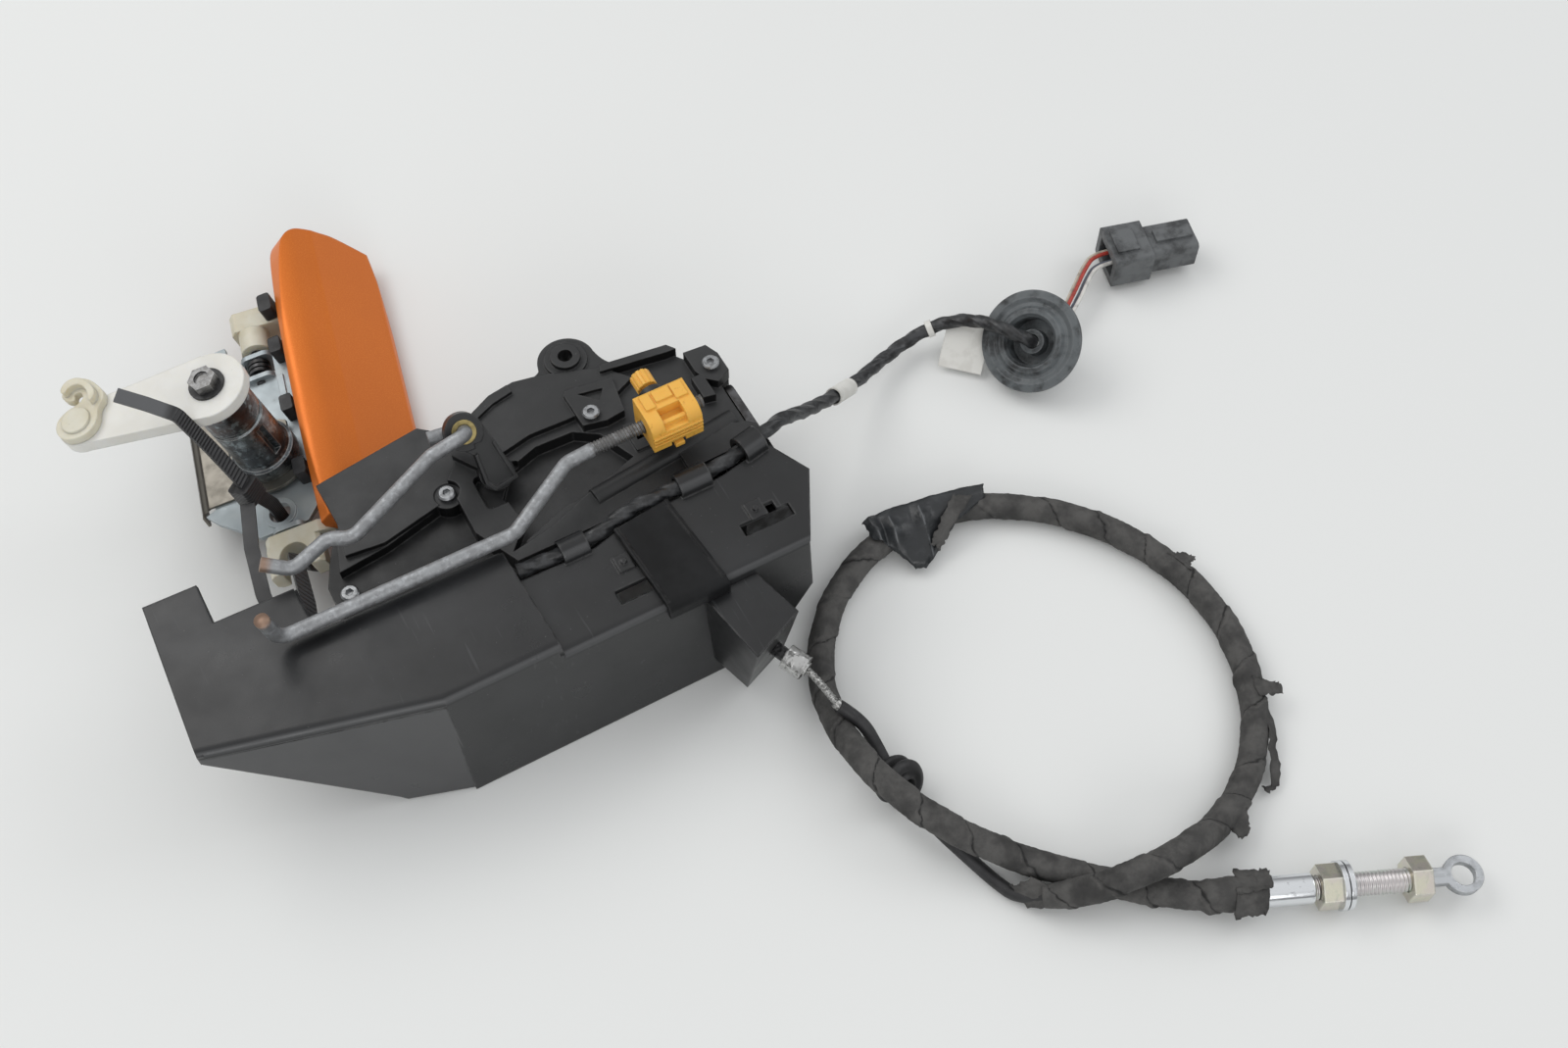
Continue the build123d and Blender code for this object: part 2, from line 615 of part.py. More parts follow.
with BuildPart() as lock_pin:
    with BuildSketch(Plane(origin=LOCK_PIVOT - LOCK_AXIS * 10, x_dir=(1, 0, 0), z_dir=LOCK_AXIS)):
        Circle(LOCK_PIN_R)
    extrude(amount=10.8)
lock_pin.part.label = "lock_pin"

with BuildPart() as brass_bush:
    with BuildSketch(Plane(origin=EYE - LOCK_AXIS * 2, x_dir=(1, 0, 0), z_dir=LOCK_AXIS)):
        Circle(4.2)
        Circle(2.6, mode=Mode.SUBTRACT)
    extrude(amount=5.2)
brass_bush.part.label = "brass_bush"

# Lock rod: bent round wire through the bush
back_bend = EYE - LOCK_AXIS * 6.6
front_bend = EYE + LOCK_AXIS * 8.2
LOCK_ROD = [(-104.5, 46.6, 33.6), tuple(back_bend), tuple(front_bend), (-107.2, 33.7, 42), (-141.6, 18.7, 38.6),
            (-148.6, 22.5, 38.6), (-162.5, 18.1, 36.8), (-171.1, 22.3, 40.8)]
with BuildPart() as lock_rod:
    with BuildLine() as lock_rod_path:
        FilletPolyline(*LOCK_ROD, radius=[3.4, 3.4, 5, 6, 6, 6])
    with BuildSketch(start_plane(LOCK_ROD)):
        Circle(ROD_R)
    sweep()
lock_rod.part.label = "lock_rod"

# Release lever: upright arm between the clip and its button
with BuildPart() as release_lever:
    with BuildSketch(Plane.XZ.offset(-22.3)):
        with Locations(RELEASE_PIVOT):
            Circle(5)
        with Locations(RELEASE_EYE):
            Circle(4.4)
        with BuildLine():
            Polyline((-36.6, 20), (-36.0, 41), (-28.0, 41), (-27.4, 20), close=True)
        make_face()
        with Locations(RELEASE_EYE):
            Circle(2 + RUN, mode=Mode.SUBTRACT)
        with Locations(RELEASE_PIVOT):
            Circle(2 + RUN, mode=Mode.SUBTRACT)
    extrude(amount=2.6)
release_lever.part.label = "release_lever"

with BuildPart() as release_pin:
    with BuildSketch(Plane.XZ.offset(-25.4)):
        with Locations(RELEASE_PIVOT):
            Circle(2)
    extrude(amount=8.8)
release_pin.part.label = "release_pin"

# Amber clip that grips the rod's threaded stretch: two arched lobes, a pocket with a bar, ribs and a latch tab
with BuildPart() as rod_clip:
    with BuildSketch(Plane.YZ.offset(-39.8)):
        with BuildLine():
            l1 = Polyline((9.4, 46.2), (19.4, 46.2), (19.4, 33.4), (4.4, 33.4), (4.4, 41.2))
            l2 = TangentArc(l1 @ 1, (9.4, 46.2), tangent=(0, 1))
        make_face()
    extrude(amount=18.6)
    with BuildSketch(Plane.XY.offset(42)):
        with Locations((-30.6, 7.2)):
            Rectangle(8.4, 8.6)
    extrude(amount=6, mode=Mode.SUBTRACT)
    with BuildSketch(Plane.XY.offset(41.5)):
        with Locations((-30.6, 7.4)):
            Rectangle(9, 1.6)
    extrude(amount=2.4)
    # Stepped back edge
    with BuildSketch(Plane.XY.offset(46)):
        with Locations((-36.2, 15.4)):
            Rectangle(3.6, 6.4)
        with Locations((-30.4, 16.2)):
            Rectangle(6.2, 4.6)
        with Locations((-24.6, 15.4)):
            Rectangle(4.4, 6.4)
    extrude(amount=1)
    # Ribs along the front and the latch tab in its notch
    with BuildSketch(Plane.XZ.offset(-4.6)):
        with Locations((-30.5, 40.4), (-30.5, 38.7), (-30.5, 37.0)):
            Rectangle(18.2, 0.8)
    extrude(amount=0.9)
    with BuildSketch(Plane.XZ.offset(-7)):
        with Locations((-30.5, 33.8)):
            Rectangle(5.4, 2.6)
    extrude(amount=4, mode=Mode.SUBTRACT)
    with BuildSketch(Plane.XZ.offset(-8)):
        with Locations((-30.5, 33.4)):
            Rectangle(3.4, 1.6)
    extrude(amount=4.6)
    with BuildSketch(Plane.XZ.offset(-24.2)):
        with Locations(RELEASE_EYE):
            Circle(2)
    extrude(amount=5)
    with BuildSketch(Plane.YZ.offset(-41)):
        with Locations((12.4, 38.8)):
            Circle(ROD_R)
    extrude(amount=22, mode=Mode.SUBTRACT)
rod_clip.part.label = "rod_clip"

with BuildPart() as clip_button:
    with BuildSketch(Plane.XZ.offset(-30.4)):
        with Locations(RELEASE_EYE):
            Circle(3.7)
            with PolarLocations(3.7, 12):
                Circle(0.35, mode=Mode.SUBTRACT)
    extrude(amount=6.2)
clip_button.part.label = "clip_button"

# Release rod: threaded stretch through the clip, then bends down to the left
RELEASE_ROD = [(-17.5, 12.4, 38.8), (-58.0, 12.4, 38.8), (-68.6, 12.1, 38.0), (-94.8, -3.7, 36.2), (-175.3, -3.3, 36.2),
               (-177.5, -3.8, 51)]
with BuildPart() as release_rod:
    with BuildLine() as release_rod_path:
        FilletPolyline(*RELEASE_ROD, radius=[20, 7, 8, 5])
    with BuildSketch(start_plane(RELEASE_ROD)):
        Circle(ROD_R)
    sweep()
release_rod.part.label = "release_rod"

# Lock motor with its worm and the wheel it turns
with BuildPart() as lock_motor:
    with BuildSketch(Plane.YZ.offset(-141)):
        with Locations((10, 0)):
            RectangleRounded(15.4, 12, 3)
    extrude(amount=25)
    with BuildSketch(Plane.YZ.offset(-116)):
        with Locations((10, 0)):
            Circle(3.2)
            Circle(1.05, mode=Mode.SUBTRACT)
    extrude(amount=1.2)
lock_motor.part.label = "lock_motor"

with BuildPart() as motor_worm:
    with BuildSketch(Plane.YZ.offset(-114.4)):
        with Locations((10, 0)):
            Circle(2.6)
    extrude(amount=17)
    for k in range(8):
        with BuildSketch(Plane.YZ.offset(-112.8 + 2 * k)):
            with Locations((10, 0)):
                Circle(3.4)
        extrude(amount=0.7)
motor_worm.part.label = "motor_worm"

with BuildPart() as worm_wheel:
    with BuildSketch(Plane.XY.offset(-5.5)):
        with Locations((-106, 23.1)):
            Circle(8.8)
            with PolarLocations(8.9, 24):
                Rectangle(1.0, 1.2)
            Circle(2 + RUN, mode=Mode.SUBTRACT)
            with PolarLocations(5.4, 5):
                Circle(1.4, mode=Mode.SUBTRACT)
    extrude(amount=8.5)
worm_wheel.part.label = "worm_wheel"

with BuildPart() as wheel_pin:
    with BuildSketch(Plane.XY.offset(-12)):
        with Locations((-106, 23.1)):
            Circle(2)
    extrude(amount=20)
wheel_pin.part.label = "wheel_pin"

# Handle bracket: pressed sheet with a collared hole and hinge ears
BRACKET = [(8.4, -30.2), (-9.8, -30.2), (-24, -18), (-27.8, -13.4), (-24, -11.8), (-24, 27), (-21, 34), (-20, 57),
           (-10.4, 57.6), (-9.4, 48), (13.6, 48), (13.6, -24)]
with BuildPart() as handle_bracket:
    with BuildSketch(handle_plane(0, 0, -SHEET)):
        with BuildLine():
            Polyline(*BRACKET, close=True)
        make_face()
        with Locations((1.5, 42)):
            Rectangle(11, 8, mode=Mode.SUBTRACT)
        with Locations((-8.6, 44)):
            Circle(3.4, mode=Mode.SUBTRACT)
        Circle(BARREL_R + 0.02, mode=Mode.SUBTRACT)
    extrude(amount=SHEET)
    with BuildSketch(handle_plane(0, 0, -0.2)):
        with Locations((-0.9, -23.6)):
            Circle(6)
    extrude(amount=1.2)
    with BuildSketch(handle_plane(0, 0, -4)):
        with Locations((-0.9, -23.6)):
            Circle(4, mode=Mode.ADD)
    extrude(amount=8, mode=Mode.SUBTRACT)
    # Hinge ears, square to the hinge axis
    for y in (-30.2, 38, 48):
        with BuildSketch(handle_plane(0, y, 0, z_dir=(0, -1, 0))):
            with Locations((HINGE_X, HINGE_Z - 1.5)):
                RectangleRounded(12, 11, 3)
            with Locations((HINGE_X, HINGE_Z)):
                Circle(HINGE_R, mode=Mode.SUBTRACT)
        extrude(amount=SHEET)
    # The pins lie across the plate's edge
    for y, length in ((66, 31), (-27.5, 10.5)):
        with BuildSketch(handle_plane(0, y, 0, z_dir=(0, -1, 0))):
            with Locations((HINGE_X, HINGE_Z)):
                Circle(HINGE_R)
        extrude(amount=length, mode=Mode.SUBTRACT)
    # Raised ribs
    with BuildSketch(handle_plane(0, 0, -0.2)):
        with Locations((-17.5, 41)):
            Rectangle(4, 22)
        with Locations((8.6, 29)):
            Rectangle(2.4, 13)
    extrude(amount=1.0)
handle_bracket.part.label = "handle_bracket"

# Outer handle blade: crowned section, rounded far end, pointed corner
BLADE = handle_plane(18, 0, 11.5, z_dir=(0.8, 0, 0.6), x_dir=(0.6, 0, -0.8))
with BuildPart() as outer_handle:
    with BuildSketch(handle_plane(18, -38, 11.5, z_dir=(0, -1, 0), x_dir=(0.6, 0, -0.8))):
        with BuildLine():
            Spline((0.0, -4.4), (1.1, -1.6), (4.6, 0.5), (12, 1.5), (19, 1.7))
            Line((19, 1.7), (46.6, -0.2))
            Line((46.6, -0.2), (49.0, -1.6))
            Line((49.0, -1.6), (50, -7.3))
            Line((50, -7.3), (4.5, -7.3))
            Line((4.5, -7.3), (0.0, -4.4))
        make_face()
    extrude(amount=-142)
    with BuildSketch(BLADE.offset(-12)):
        with BuildLine():
            Spline((2.0, -38), (0.4, -6), (0.0, 20), (0.8, 55), (3.6, 84))
            Spline((3.6, 84), (6.0, 93.6), (12.6, 99.8), (22, 101.2), (44.6, 98.6), tangents=((0.22, 1), (1, -0.22)))
            Spline((44.6, 98.6), (47.4, 78), (49.2, 56), (50.4, 30))
            Line((50.4, 30), (50.4, -38))
            Line((50.4, -38), (2.0, -38))
        make_face()
    extrude(amount=20, mode=Mode.INTERSECT)
outer_handle.part.label = "outer_handle"

with BuildPart() as upper_arm:
    with BuildSketch(handle_plane(0, 60, 0, z_dir=(0, -1, 0))):
        with Locations((HINGE_X, HINGE_Z)):
            Circle(5.5)
            Circle(HINGE_R + RUN, mode=Mode.SUBTRACT)
    extrude(amount=9.6)
    with BuildSketch(handle_plane(0, 69, 0, z_dir=(0, -1, 0))):
        with BuildLine():
            Polyline((-6, -7), (-4, -9), (24.2, -9), (16.7, 1), (-4, 3.4), (-6, 1.4), close=True)
        make_face()
        with Locations((HINGE_X, HINGE_Z)):
            Circle(HINGE_R + RUN, mode=Mode.SUBTRACT)
    extrude(amount=9)
upper_arm.part.label = "upper_arm"

with BuildPart() as lower_arm:
    with BuildSketch(handle_plane(0, -33.4, 0, z_dir=(0, -1, 0))):
        with BuildLine():
            Polyline((-8, -6), (-6, -9), (24.2, -9), (16.7, 1), (12, 3), (-6, 3), (-8, 1), close=True)
        make_face()
    extrude(amount=4.8)
    with BuildSketch(handle_plane(0, -38, 0, z_dir=(0, -1, 0))):
        with BuildLine():
            Polyline((-8, -3.4), (-6.4, -5), (10.4, -5), (12, -3.4), (12, 1.6), (10.4, 3), (-6.4, 3), (-8, 1.6), close=True)
        make_face()
    extrude(amount=12)
    with BuildSketch(handle_plane(0, 0, -14)):
        with Locations((1.8, -44.4)):
            Circle(5.3)
        with Locations((1.8, -48)):
            Rectangle(10.6, 7)
    extrude(amount=24, mode=Mode.SUBTRACT)
    with BuildSketch(handle_plane(0, -30, 0, z_dir=(0, -1, 0))):
        with Locations((HINGE_X, HINGE_Z)):
            Circle(HINGE_R + RUN)
    extrude(amount=8.2, mode=Mode.SUBTRACT)
lower_arm.part.label = "lower_arm"

with BuildPart() as hinge_pins:
    with BuildSketch(handle_plane(0, 66, 0, z_dir=(0, -1, 0))):
        with Locations((HINGE_X, HINGE_Z)):
            Circle(HINGE_R)
    extrude(amount=31)
    with BuildSketch(handle_plane(0, -27.5, 0, z_dir=(0, -1, 0))):
        with Locations((HINGE_X, HINGE_Z)):
            Circle(HINGE_R)
    extrude(amount=10.5)
hinge_pins.part.label = "hinge_pins"

with BuildPart() as handle_spring:
    for k in range(3):
        with BuildSketch(handle_plane(0, 45 - 2 * k, 0, z_dir=(0, -1, 0))):
            with Locations((HINGE_X, HINGE_Z)):
                Circle(4.2)
                Circle(2.9, mode=Mode.SUBTRACT)
        extrude(amount=1.4)
    with BuildSketch(handle_plane(0, 45, 0, z_dir=(0, -1, 0))):
        with Locations((HINGE_X - 3.6, HINGE_Z - 3)):
            Rectangle(0.9, 7)
    extrude(amount=5.4)
handle_spring.part.label = "handle_spring"

# Black pads between the bracket and the blade
with BuildPart() as handle_pads:
    for y in (44.4, 16.9, -11.8):
        with BuildSketch(handle_plane(0, 0, 0)):
            with Locations((11.0, y)):
                RectangleRounded(4.6, 7, 1)
        extrude(amount=7.4)
handle_pads.part.label = "handle_pads"

with BuildPart() as arm_buffer:
    with BuildSketch(handle_plane(0, 0, 2.2)):
        with Locations((10.6, 64.6)):
            RectangleRounded(5, 8, 1.2)
    extrude(amount=6.2)
arm_buffer.part.label = "arm_buffer"

# Key barrel standing on the bracket, with flange, groove and body
with BuildPart() as lock_barrel:
    with BuildSketch(handle_plane(0, 0, 0, z_dir=(0, -1, 0))):
        with BuildLine():
            Polyline((6.35, -6), (12.6, -6), (12.6, -2.0), (10, -2.0), (10, 2.0), (10.15, 2.0), (10.15, 3.6), (11.5, 3.6),
                     (11.5, 9), (10.4, 9.6), (10, 11), (10, 30), (9.4, 30.4), (9.4, 32), (10, 32.4), (10, 44.2),
                     (9.2, 45), (6.35, 45), close=True)
        make_face()
    revolve(axis=Axis(at_handle(0, 0, 0), at_handle(0, 0, 1) - at_handle(0, 0, 0)))
    with BuildSketch(handle_plane(0, 0, 13)):
        with Locations((-10.6, 0), (7.2, 7.2), (7.2, -7.2)):
            Rectangle(3, 3)
    extrude(amount=15, mode=Mode.SUBTRACT)
lock_barrel.part.label = "lock_barrel"

with BuildPart() as lock_plug:
    with BuildSketch(handle_plane(0, 0, -6.4)):
        Circle(6.35 - RUN)
    extrude(amount=51.7)
    with BuildSketch(handle_plane(0, 0, -7)):
        Rectangle(2.2, 8)
    extrude(amount=9, mode=Mode.SUBTRACT)
lock_plug.part.label = "lock_plug"

with BuildPart() as barrel_retainer:
    with BuildSketch(handle_plane(0, 0, 2.05)):
        Circle(15)
        with Locations((7, 0)):
            Rectangle(14, 24)
        Circle(10.2, mode=Mode.SUBTRACT)
        with Locations((8, 0)):
            Rectangle(16, 19, mode=Mode.SUBTRACT)
        with Locations((13.4, 0)):
            Rectangle(10, 40, mode=Mode.SUBTRACT)
    extrude(amount=1.4)
barrel_retainer.part.label = "barrel_retainer"

# Thin stainless guard curling down over the bracket's left edge
with BuildPart() as barrel_guard:
    with BuildSketch(handle_plane(0, 26, 0, z_dir=(0, -1, 0))):
        with BuildLine():
            Polyline((-15.4, 0.05), (-25.4, 0.05), (-28.2, -1.2), (-29.6, -4), (-30, -9), (-31, -9), (-30.6, -3.6),
                     (-29, -0.5), (-25.8, 1.05), (-15.4, 1.05), close=True)
        make_face()
    extrude(amount=37)
barrel_guard.part.label = "barrel_guard"

# Key lever on the plug, its bolt, collar and cream clip
with BuildPart() as key_lever:
    with BuildSketch(handle_plane(0, 0, 45.3)):
        Circle(13)
        with Locations((-45, 3.5)):
            Circle(8)
        with BuildLine():
            Polyline((-0.6, 13), (-44.4, 11.5), (-45.6, -4.4), (-2.4, -12.8), close=True)
        make_face()
        Circle(2.5, mode=Mode.SUBTRACT)
    extrude(amount=4.7)
    fillet(key_lever.faces().sort_by(Axis.Z)[-1].edges().filter_by(GeomType.CIRCLE, reverse=False)[:0] or
           key_lever.edges().group_by(SortBy.LENGTH)[-1], 0.5)
key_lever.part.label = "key_lever"

with BuildPart() as lever_bolt:
    with BuildSketch(handle_plane(0, 0, 51)):
        RegularPolygon(4.9, 6)
    extrude(amount=3.6)
    with BuildSketch(handle_plane(0, 0, 45.35)):
        Circle(2.5)
    extrude(amount=5.65)
    with BuildSketch(handle_plane(0, 0, 53.6)):
        Circle(2.6)
    extrude(amount=2, mode=Mode.SUBTRACT)
lever_bolt.part.label = "lever_bolt"

with BuildPart() as bolt_collar:
    with BuildSketch(handle_plane(0, 0, 50)):
        Circle(6.2)
        Circle(2.5, mode=Mode.SUBTRACT)
    extrude(amount=1)
bolt_collar.part.label = "bolt_collar"

with BuildPart() as lever_clip:
    with BuildSketch(handle_plane(0, 0, 50)):
        with Locations((-45, 3.5)):
            Circle(7.6)
        with BuildLine():
            Polyline((-50, 8.6), (-37.6, 5.4), (-34.2, 14), (-48, 17), close=True)
        make_face()
        with Locations((-42.4, 17.4)):
            Circle(8.6)
            Circle(3.4, mode=Mode.SUBTRACT)
        with Locations((-50, 18.6)):
            Rectangle(15, 4.4, rotation=-14, mode=Mode.SUBTRACT)
    extrude(amount=4.6)
    with BuildSketch(handle_plane(0, 0, 54)):
        with Locations((-45, 3.5)):
            Circle(4.4)
    extrude(amount=2.2)
lever_clip.part.label = "lever_clip"

# Cable tie: one flat strap, from its cut tail through the head and round both groups
TIE_TAIL = [(-189.7, 92.0, 61.0), (-182.3, 86.7, 57.4), (-175.0, 81.0, 53.4), (-169.9, 73.6, 40.0), (-164.6, 62.6, 27.5)]
TIE_LOOP = [(-163.2, 62.4, 22.0), (-159.4, 65.9, 8.0), (-158.0, 67.2, -6.0), (-155.6, 62.6, -14.8), (-156.0, 50.0, -15.6),
            (-158.6, 45.4, -6.0), (-159.9, 42.4, 9.0), (-162.8, 15.4, 19.5), (-164.0, 8.4, 22.4), (-169.6, 5.4, 23.6),
            (-174.4, 9.4, 24.0), (-174.5, 21.4, 25.0), (-171.7, 40.8, 24.4), (-167.0, 57.6, 24.8)]
with BuildPart() as cable_tie:
    with BuildLine() as tail_path:
        FilletPolyline(*TIE_TAIL, radius=[6, 5, 6])
    with BuildSketch(Plane(origin=TIE_TAIL[0], x_dir=(0.759, 0.65, 0.0), z_dir=Vector(*TIE_TAIL[1]) - Vector(*TIE_TAIL[0]))):
        Rectangle(4.8, 1.3)
    sweep()
    with BuildLine() as loop_path:
        FilletPolyline(*TIE_LOOP, radius=[4, 4, 3.4, 4.4, 4, 4, 3, 2.4, 2.4, 3, 5, 5])
    with BuildSketch(Plane(origin=TIE_LOOP[0], x_dir=(0.8, 0.6, 0.0), z_dir=Vector(*TIE_LOOP[1]) - Vector(*TIE_LOOP[0]))):
        Rectangle(4.8, 1.3)
    sweep()
cable_tie.part.label = "cable_tie"

with BuildPart() as tie_head:
    with BuildSketch(Plane(origin=(-164.4, 62.2, 21.6), x_dir=(0.759, 0.65, 0), z_dir=(-0.2, 0.25, 0.95))):
        RectangleRounded(8.4, 8.0, 1.4)
    extrude(amount=7)
tie_head.part.label = "tie_head"

# Wiring harness: a free cord in a twisted tape cover, clipped on the shield, out to the door grommet
HARNESS = [(-98.5, -11.0, 26), (-87.6, -11.9, 26), (-71, -11.6, 26), (-57, -7.8, 27.2), (-43, -7.7, 26.8),
           (-22.5, -6.9, 26.6), (-10.5, -4.4, 26.8), (-2.4, -2.2, 26.6), (7.5, 1.8, 24.6), (18.5, 6.4, 15), (33.8, 14.1, 3),
           (51.0, 23.6, -9.4), (69.1, 32.6, -16), (86, 36.6, -16.2), (98.4, 33.6, -11.4), (106.6, 22.4, -3.6),
           (114.2, 5.6, -0.8), (119.0, 6.5, -6.8)]
with BuildPart() as harness_cord:
    with BuildLine() as harness_path:
        FilletPolyline(*HARNESS, radius=bends(HARNESS, top=32))
    with BuildSketch(start_plane(HARNESS)):
        Circle(HARNESS_D / 2)
    sweep()
print("harness", round(harness_path.wires()[0].length, 1), [round(r, 1) for r in bends(HARNESS, top=32)],
      round(harness_cord.part.volume / harness_path.wires()[0].length / 3.14159 / (HARNESS_D / 2) ** 2, 3))
harness_cord.part.label = "harness_cord"

# Two blank labels wrapped on the harness: a sleeve and a flag
with BuildPart() as cord_labels:
    for a, b, tail in (((37.2, 15.98, 0.55), (47.6, 21.72, -6.95), (6.0, -10.0, 0)), ((90.6, 35.5, -14.4), (92.8, 34.9, -13.6), (0, 0, 0))):
        along = Vector(*b) - Vector(*a)
        with BuildSketch(Plane(origin=a, z_dir=along)):
            Circle(HARNESS_D / 2 + 0.6)
            Circle(HARNESS_D / 2 + 0.1, mode=Mode.SUBTRACT)
        extrude(amount=along.length)
    with BuildSketch(Plane(origin=(88.5, 23.1, -21.6), x_dir=(12.7, -12.5, 0), z_dir=(-0.38, -0.39, 0.84))):
        Rectangle(17, 19, align=(Align.MIN, Align.MIN))
    extrude(amount=0.4)
cord_labels.part.label = "cord_labels"

# Door grommet: rubber disc with a rim, an inner tube and a boot behind
GROMMET = Plane(origin=(118.4, 6.3, -6), z_dir=(-0.602, -0.215, 0.768))
with BuildPart() as door_grommet:
    with BuildSketch(Plane(origin=GROMMET.origin, x_dir=GROMMET.x_dir, z_dir=GROMMET.y_dir * -1)):
        with BuildLine():
            Polyline((2.75, -17.5), (5.4, -17.5), (6.6, -11), (10.5, -9), (14.4, -7.6), (14.4, -5.2), (12.6, -3.6), (13.4, -2),
                     (19.5, -1.4), (19.5, 0.4), (16.6, 1.0), (14.6, 0.2), (13.6, 0.4), (12.2, 2.0), (10.4, 2.2), (9.2, 0.6),
                     (8.8, -6.4), (4.9, -6.8), (4.7, -1.0), (2.75, -1.0), close=True)
        make_face()
    revolve(axis=Axis(GROMMET.origin, GROMMET.z_dir))
door_grommet.part.label = "door_grommet"

# Loose wires between the grommet's boot and the connector
TAIL = [(127.2, 9.4, -17.3), (132.2, 11.3, -20.6), (138.6, 14.4, -20.0), (145.4, 18.6, -16.6),
        (153.4, 23.9, -15.2), (160.6, 29.4, -14.6), (167.6, 33.2, -14), (175.86, 30.94, -14)]
with BuildPart() as wire_tails:
    for dy, dz in ((-1.9, 0.2), (-0.7, -0.9), (0.6, 0.8), (1.9, -0.3)):
        spread = [0.55, 0.6, 1.1, 1.6, 1.9, 1.8, 1.7, 1.7]
        run = [(x + 0.276 * dy * s, y + dy * s, z + dz * s) for (x, y, z), s in zip(TAIL, spread)]
        with BuildLine():
            FilletPolyline(*run, radius=bends(run, 0.4))
        with BuildSketch(start_plane(run)):
            Circle(0.8)
        sweep()
wire_tails.part.label = "wire_tails"

# Connector shell, two bodies with a latch rib
PLUG = Plane(origin=(172, 32, -14), x_dir=(0.266, 0.964, 0), z_dir=(0.964, -0.266, 0))
with BuildPart() as connector:
    with BuildSketch(PLUG):
        RectangleRounded(20, 15, 1.6)
    extrude(amount=16)
    with BuildSketch(PLUG.offset(16)):
        RectangleRounded(15.4, 12.6, 2)
    extrude(amount=19.5)
    with BuildSketch(PLUG.offset(19)):
        with Locations((0, 6.6)):
            Rectangle(6, 2.6)
        with Locations((0, -5.8)):
            Rectangle(9, 2)
    extrude(amount=15)
    with BuildSketch(PLUG.offset(2)):
        with Locations((0, 7.6)):
            Rectangle(11, 2.4)
    extrude(amount=9)
    with BuildSketch(PLUG.offset(35.5)):
        RectangleRounded(12.4, 9.6, 1.2)
    extrude(amount=-12, mode=Mode.SUBTRACT)
    with BuildSketch(PLUG):
        Rectangle(14, 8)
    extrude(amount=4, mode=Mode.SUBTRACT)
connector.part.label = "connector"

# Release cable: stub and crimp collar at the box, bare inner wire, jacket, then the taped bundle
STUB = [(-35.0, -60.6, 3.9), (-31.2, -69.3, 2.95), (-26.6, -77.7, 1.5)]
with BuildPart() as cable_stub:
    with BuildLine() as stub_path:
        FilletPolyline(*STUB, radius=bends(STUB))
    with BuildSketch(start_plane(STUB)):
        Circle(STUB_D / 2)
    sweep()
    collar_dir = Vector(*STUB[2]) - Vector(*STUB[1])
    with BuildSketch(Plane(origin=Vector(*STUB[1]) + collar_dir * 0.12, z_dir=collar_dir)):
        Circle(4.4)
    extrude(amount=collar_dir.length * 0.8)
cable_stub.part.label = "cable_stub"

WIRE = [(-26.6, -77.7, 1.5), (-25.2, -82.0, 0.2), (-23.9, -86.6, -2.0), (-22.4, -91.8, -4.8)]
with BuildPart() as inner_wire:
    with BuildLine() as inner_path:
        FilletPolyline(*WIRE, radius=bends(WIRE))
    with BuildSketch(start_plane(WIRE)):
        Circle(INNER_D / 2)
    sweep()
print("inner", round(inner_path.wires()[0].length, 1), [round(r, 1) for r in bends(WIRE)])
inner_wire.part.label = "inner_wire"

JACKET = [(-22.4, -91.8, -4.8), (-17.3, -98.2, -8.8), (-16.2, -106.5, -14.2), (-16.6, -114.4, -15.9), (-15.5, -126.9, -16.4),
          (-13.0, -140.2, -18.6), (-8.6, -152.8, -20.8), (-5.2, -164.0, -21.3), (-1.6, -172.6, -21), (5.1, -176.7, -18.3)]
with BuildPart() as cable_jacket:
    with BuildLine() as jacket_path:
        FilletPolyline(*JACKET, radius=bends(JACKET))
    with BuildSketch(start_plane(JACKET)):
        Circle(JACKET_D / 2)
    sweep()
print("jacket", round(jacket_path.wires()[0].length, 1), [round(r, 1) for r in bends(JACKET)])
cable_jacket.part.label = "cable_jacket"

WRAP = [(5.1, -176.7, -18.3), (15.4, -183.0, -14), (27.4, -187.3, -6.0), (43.7, -188.8, -6.0), (63.5, -185.7, -15),
        (80.9, -179.4, -18.2), (95.6, -168.2, -18.6), (106.4, -153.4, -18.6), (114, -135.5, -18.6), (116.5, -115, -18.6),
        (113, -92.8, -18.6), (102, -70.5, -18.6), (85.8, -52.4, -18.6), (66.2, -40.1, -18.6), (44.8, -34.5, -18.6),
        (23.4, -37, -18.6), (3.3, -46.4, -18.6), (-11.3, -60.6, -18.4), (-20.7, -76.9, -17.5), (-25.1, -96.9, -12),
        (-24.4, -119.0, -4.2), (-18.3, -136.1, -5.2), (-7.7, -151.1, -10), (7.1, -165.4, -17), (22.7, -179.9, -18.6),
        (38.3, -193.8, -18.4), (51.7, -203.63, -15.9), (63.6, -208.9, -15.9)]
with BuildPart() as cable_wrap:
    with BuildLine() as wrap_path:
        FilletPolyline(*WRAP, radius=bends(WRAP, top=120))
    with BuildSketch(start_plane(WRAP)):
        Circle(WRAP_D / 2)
    sweep()
print("wrap", round(wrap_path.wires()[0].length, 1), [round(r, 1) for r in bends(WRAP, top=120)],
      round(cable_wrap.part.volume / wrap_path.wires()[0].length / 3.14159 / (WRAP_D / 2) ** 2, 3))
cable_wrap.part.label = "cable_wrap"

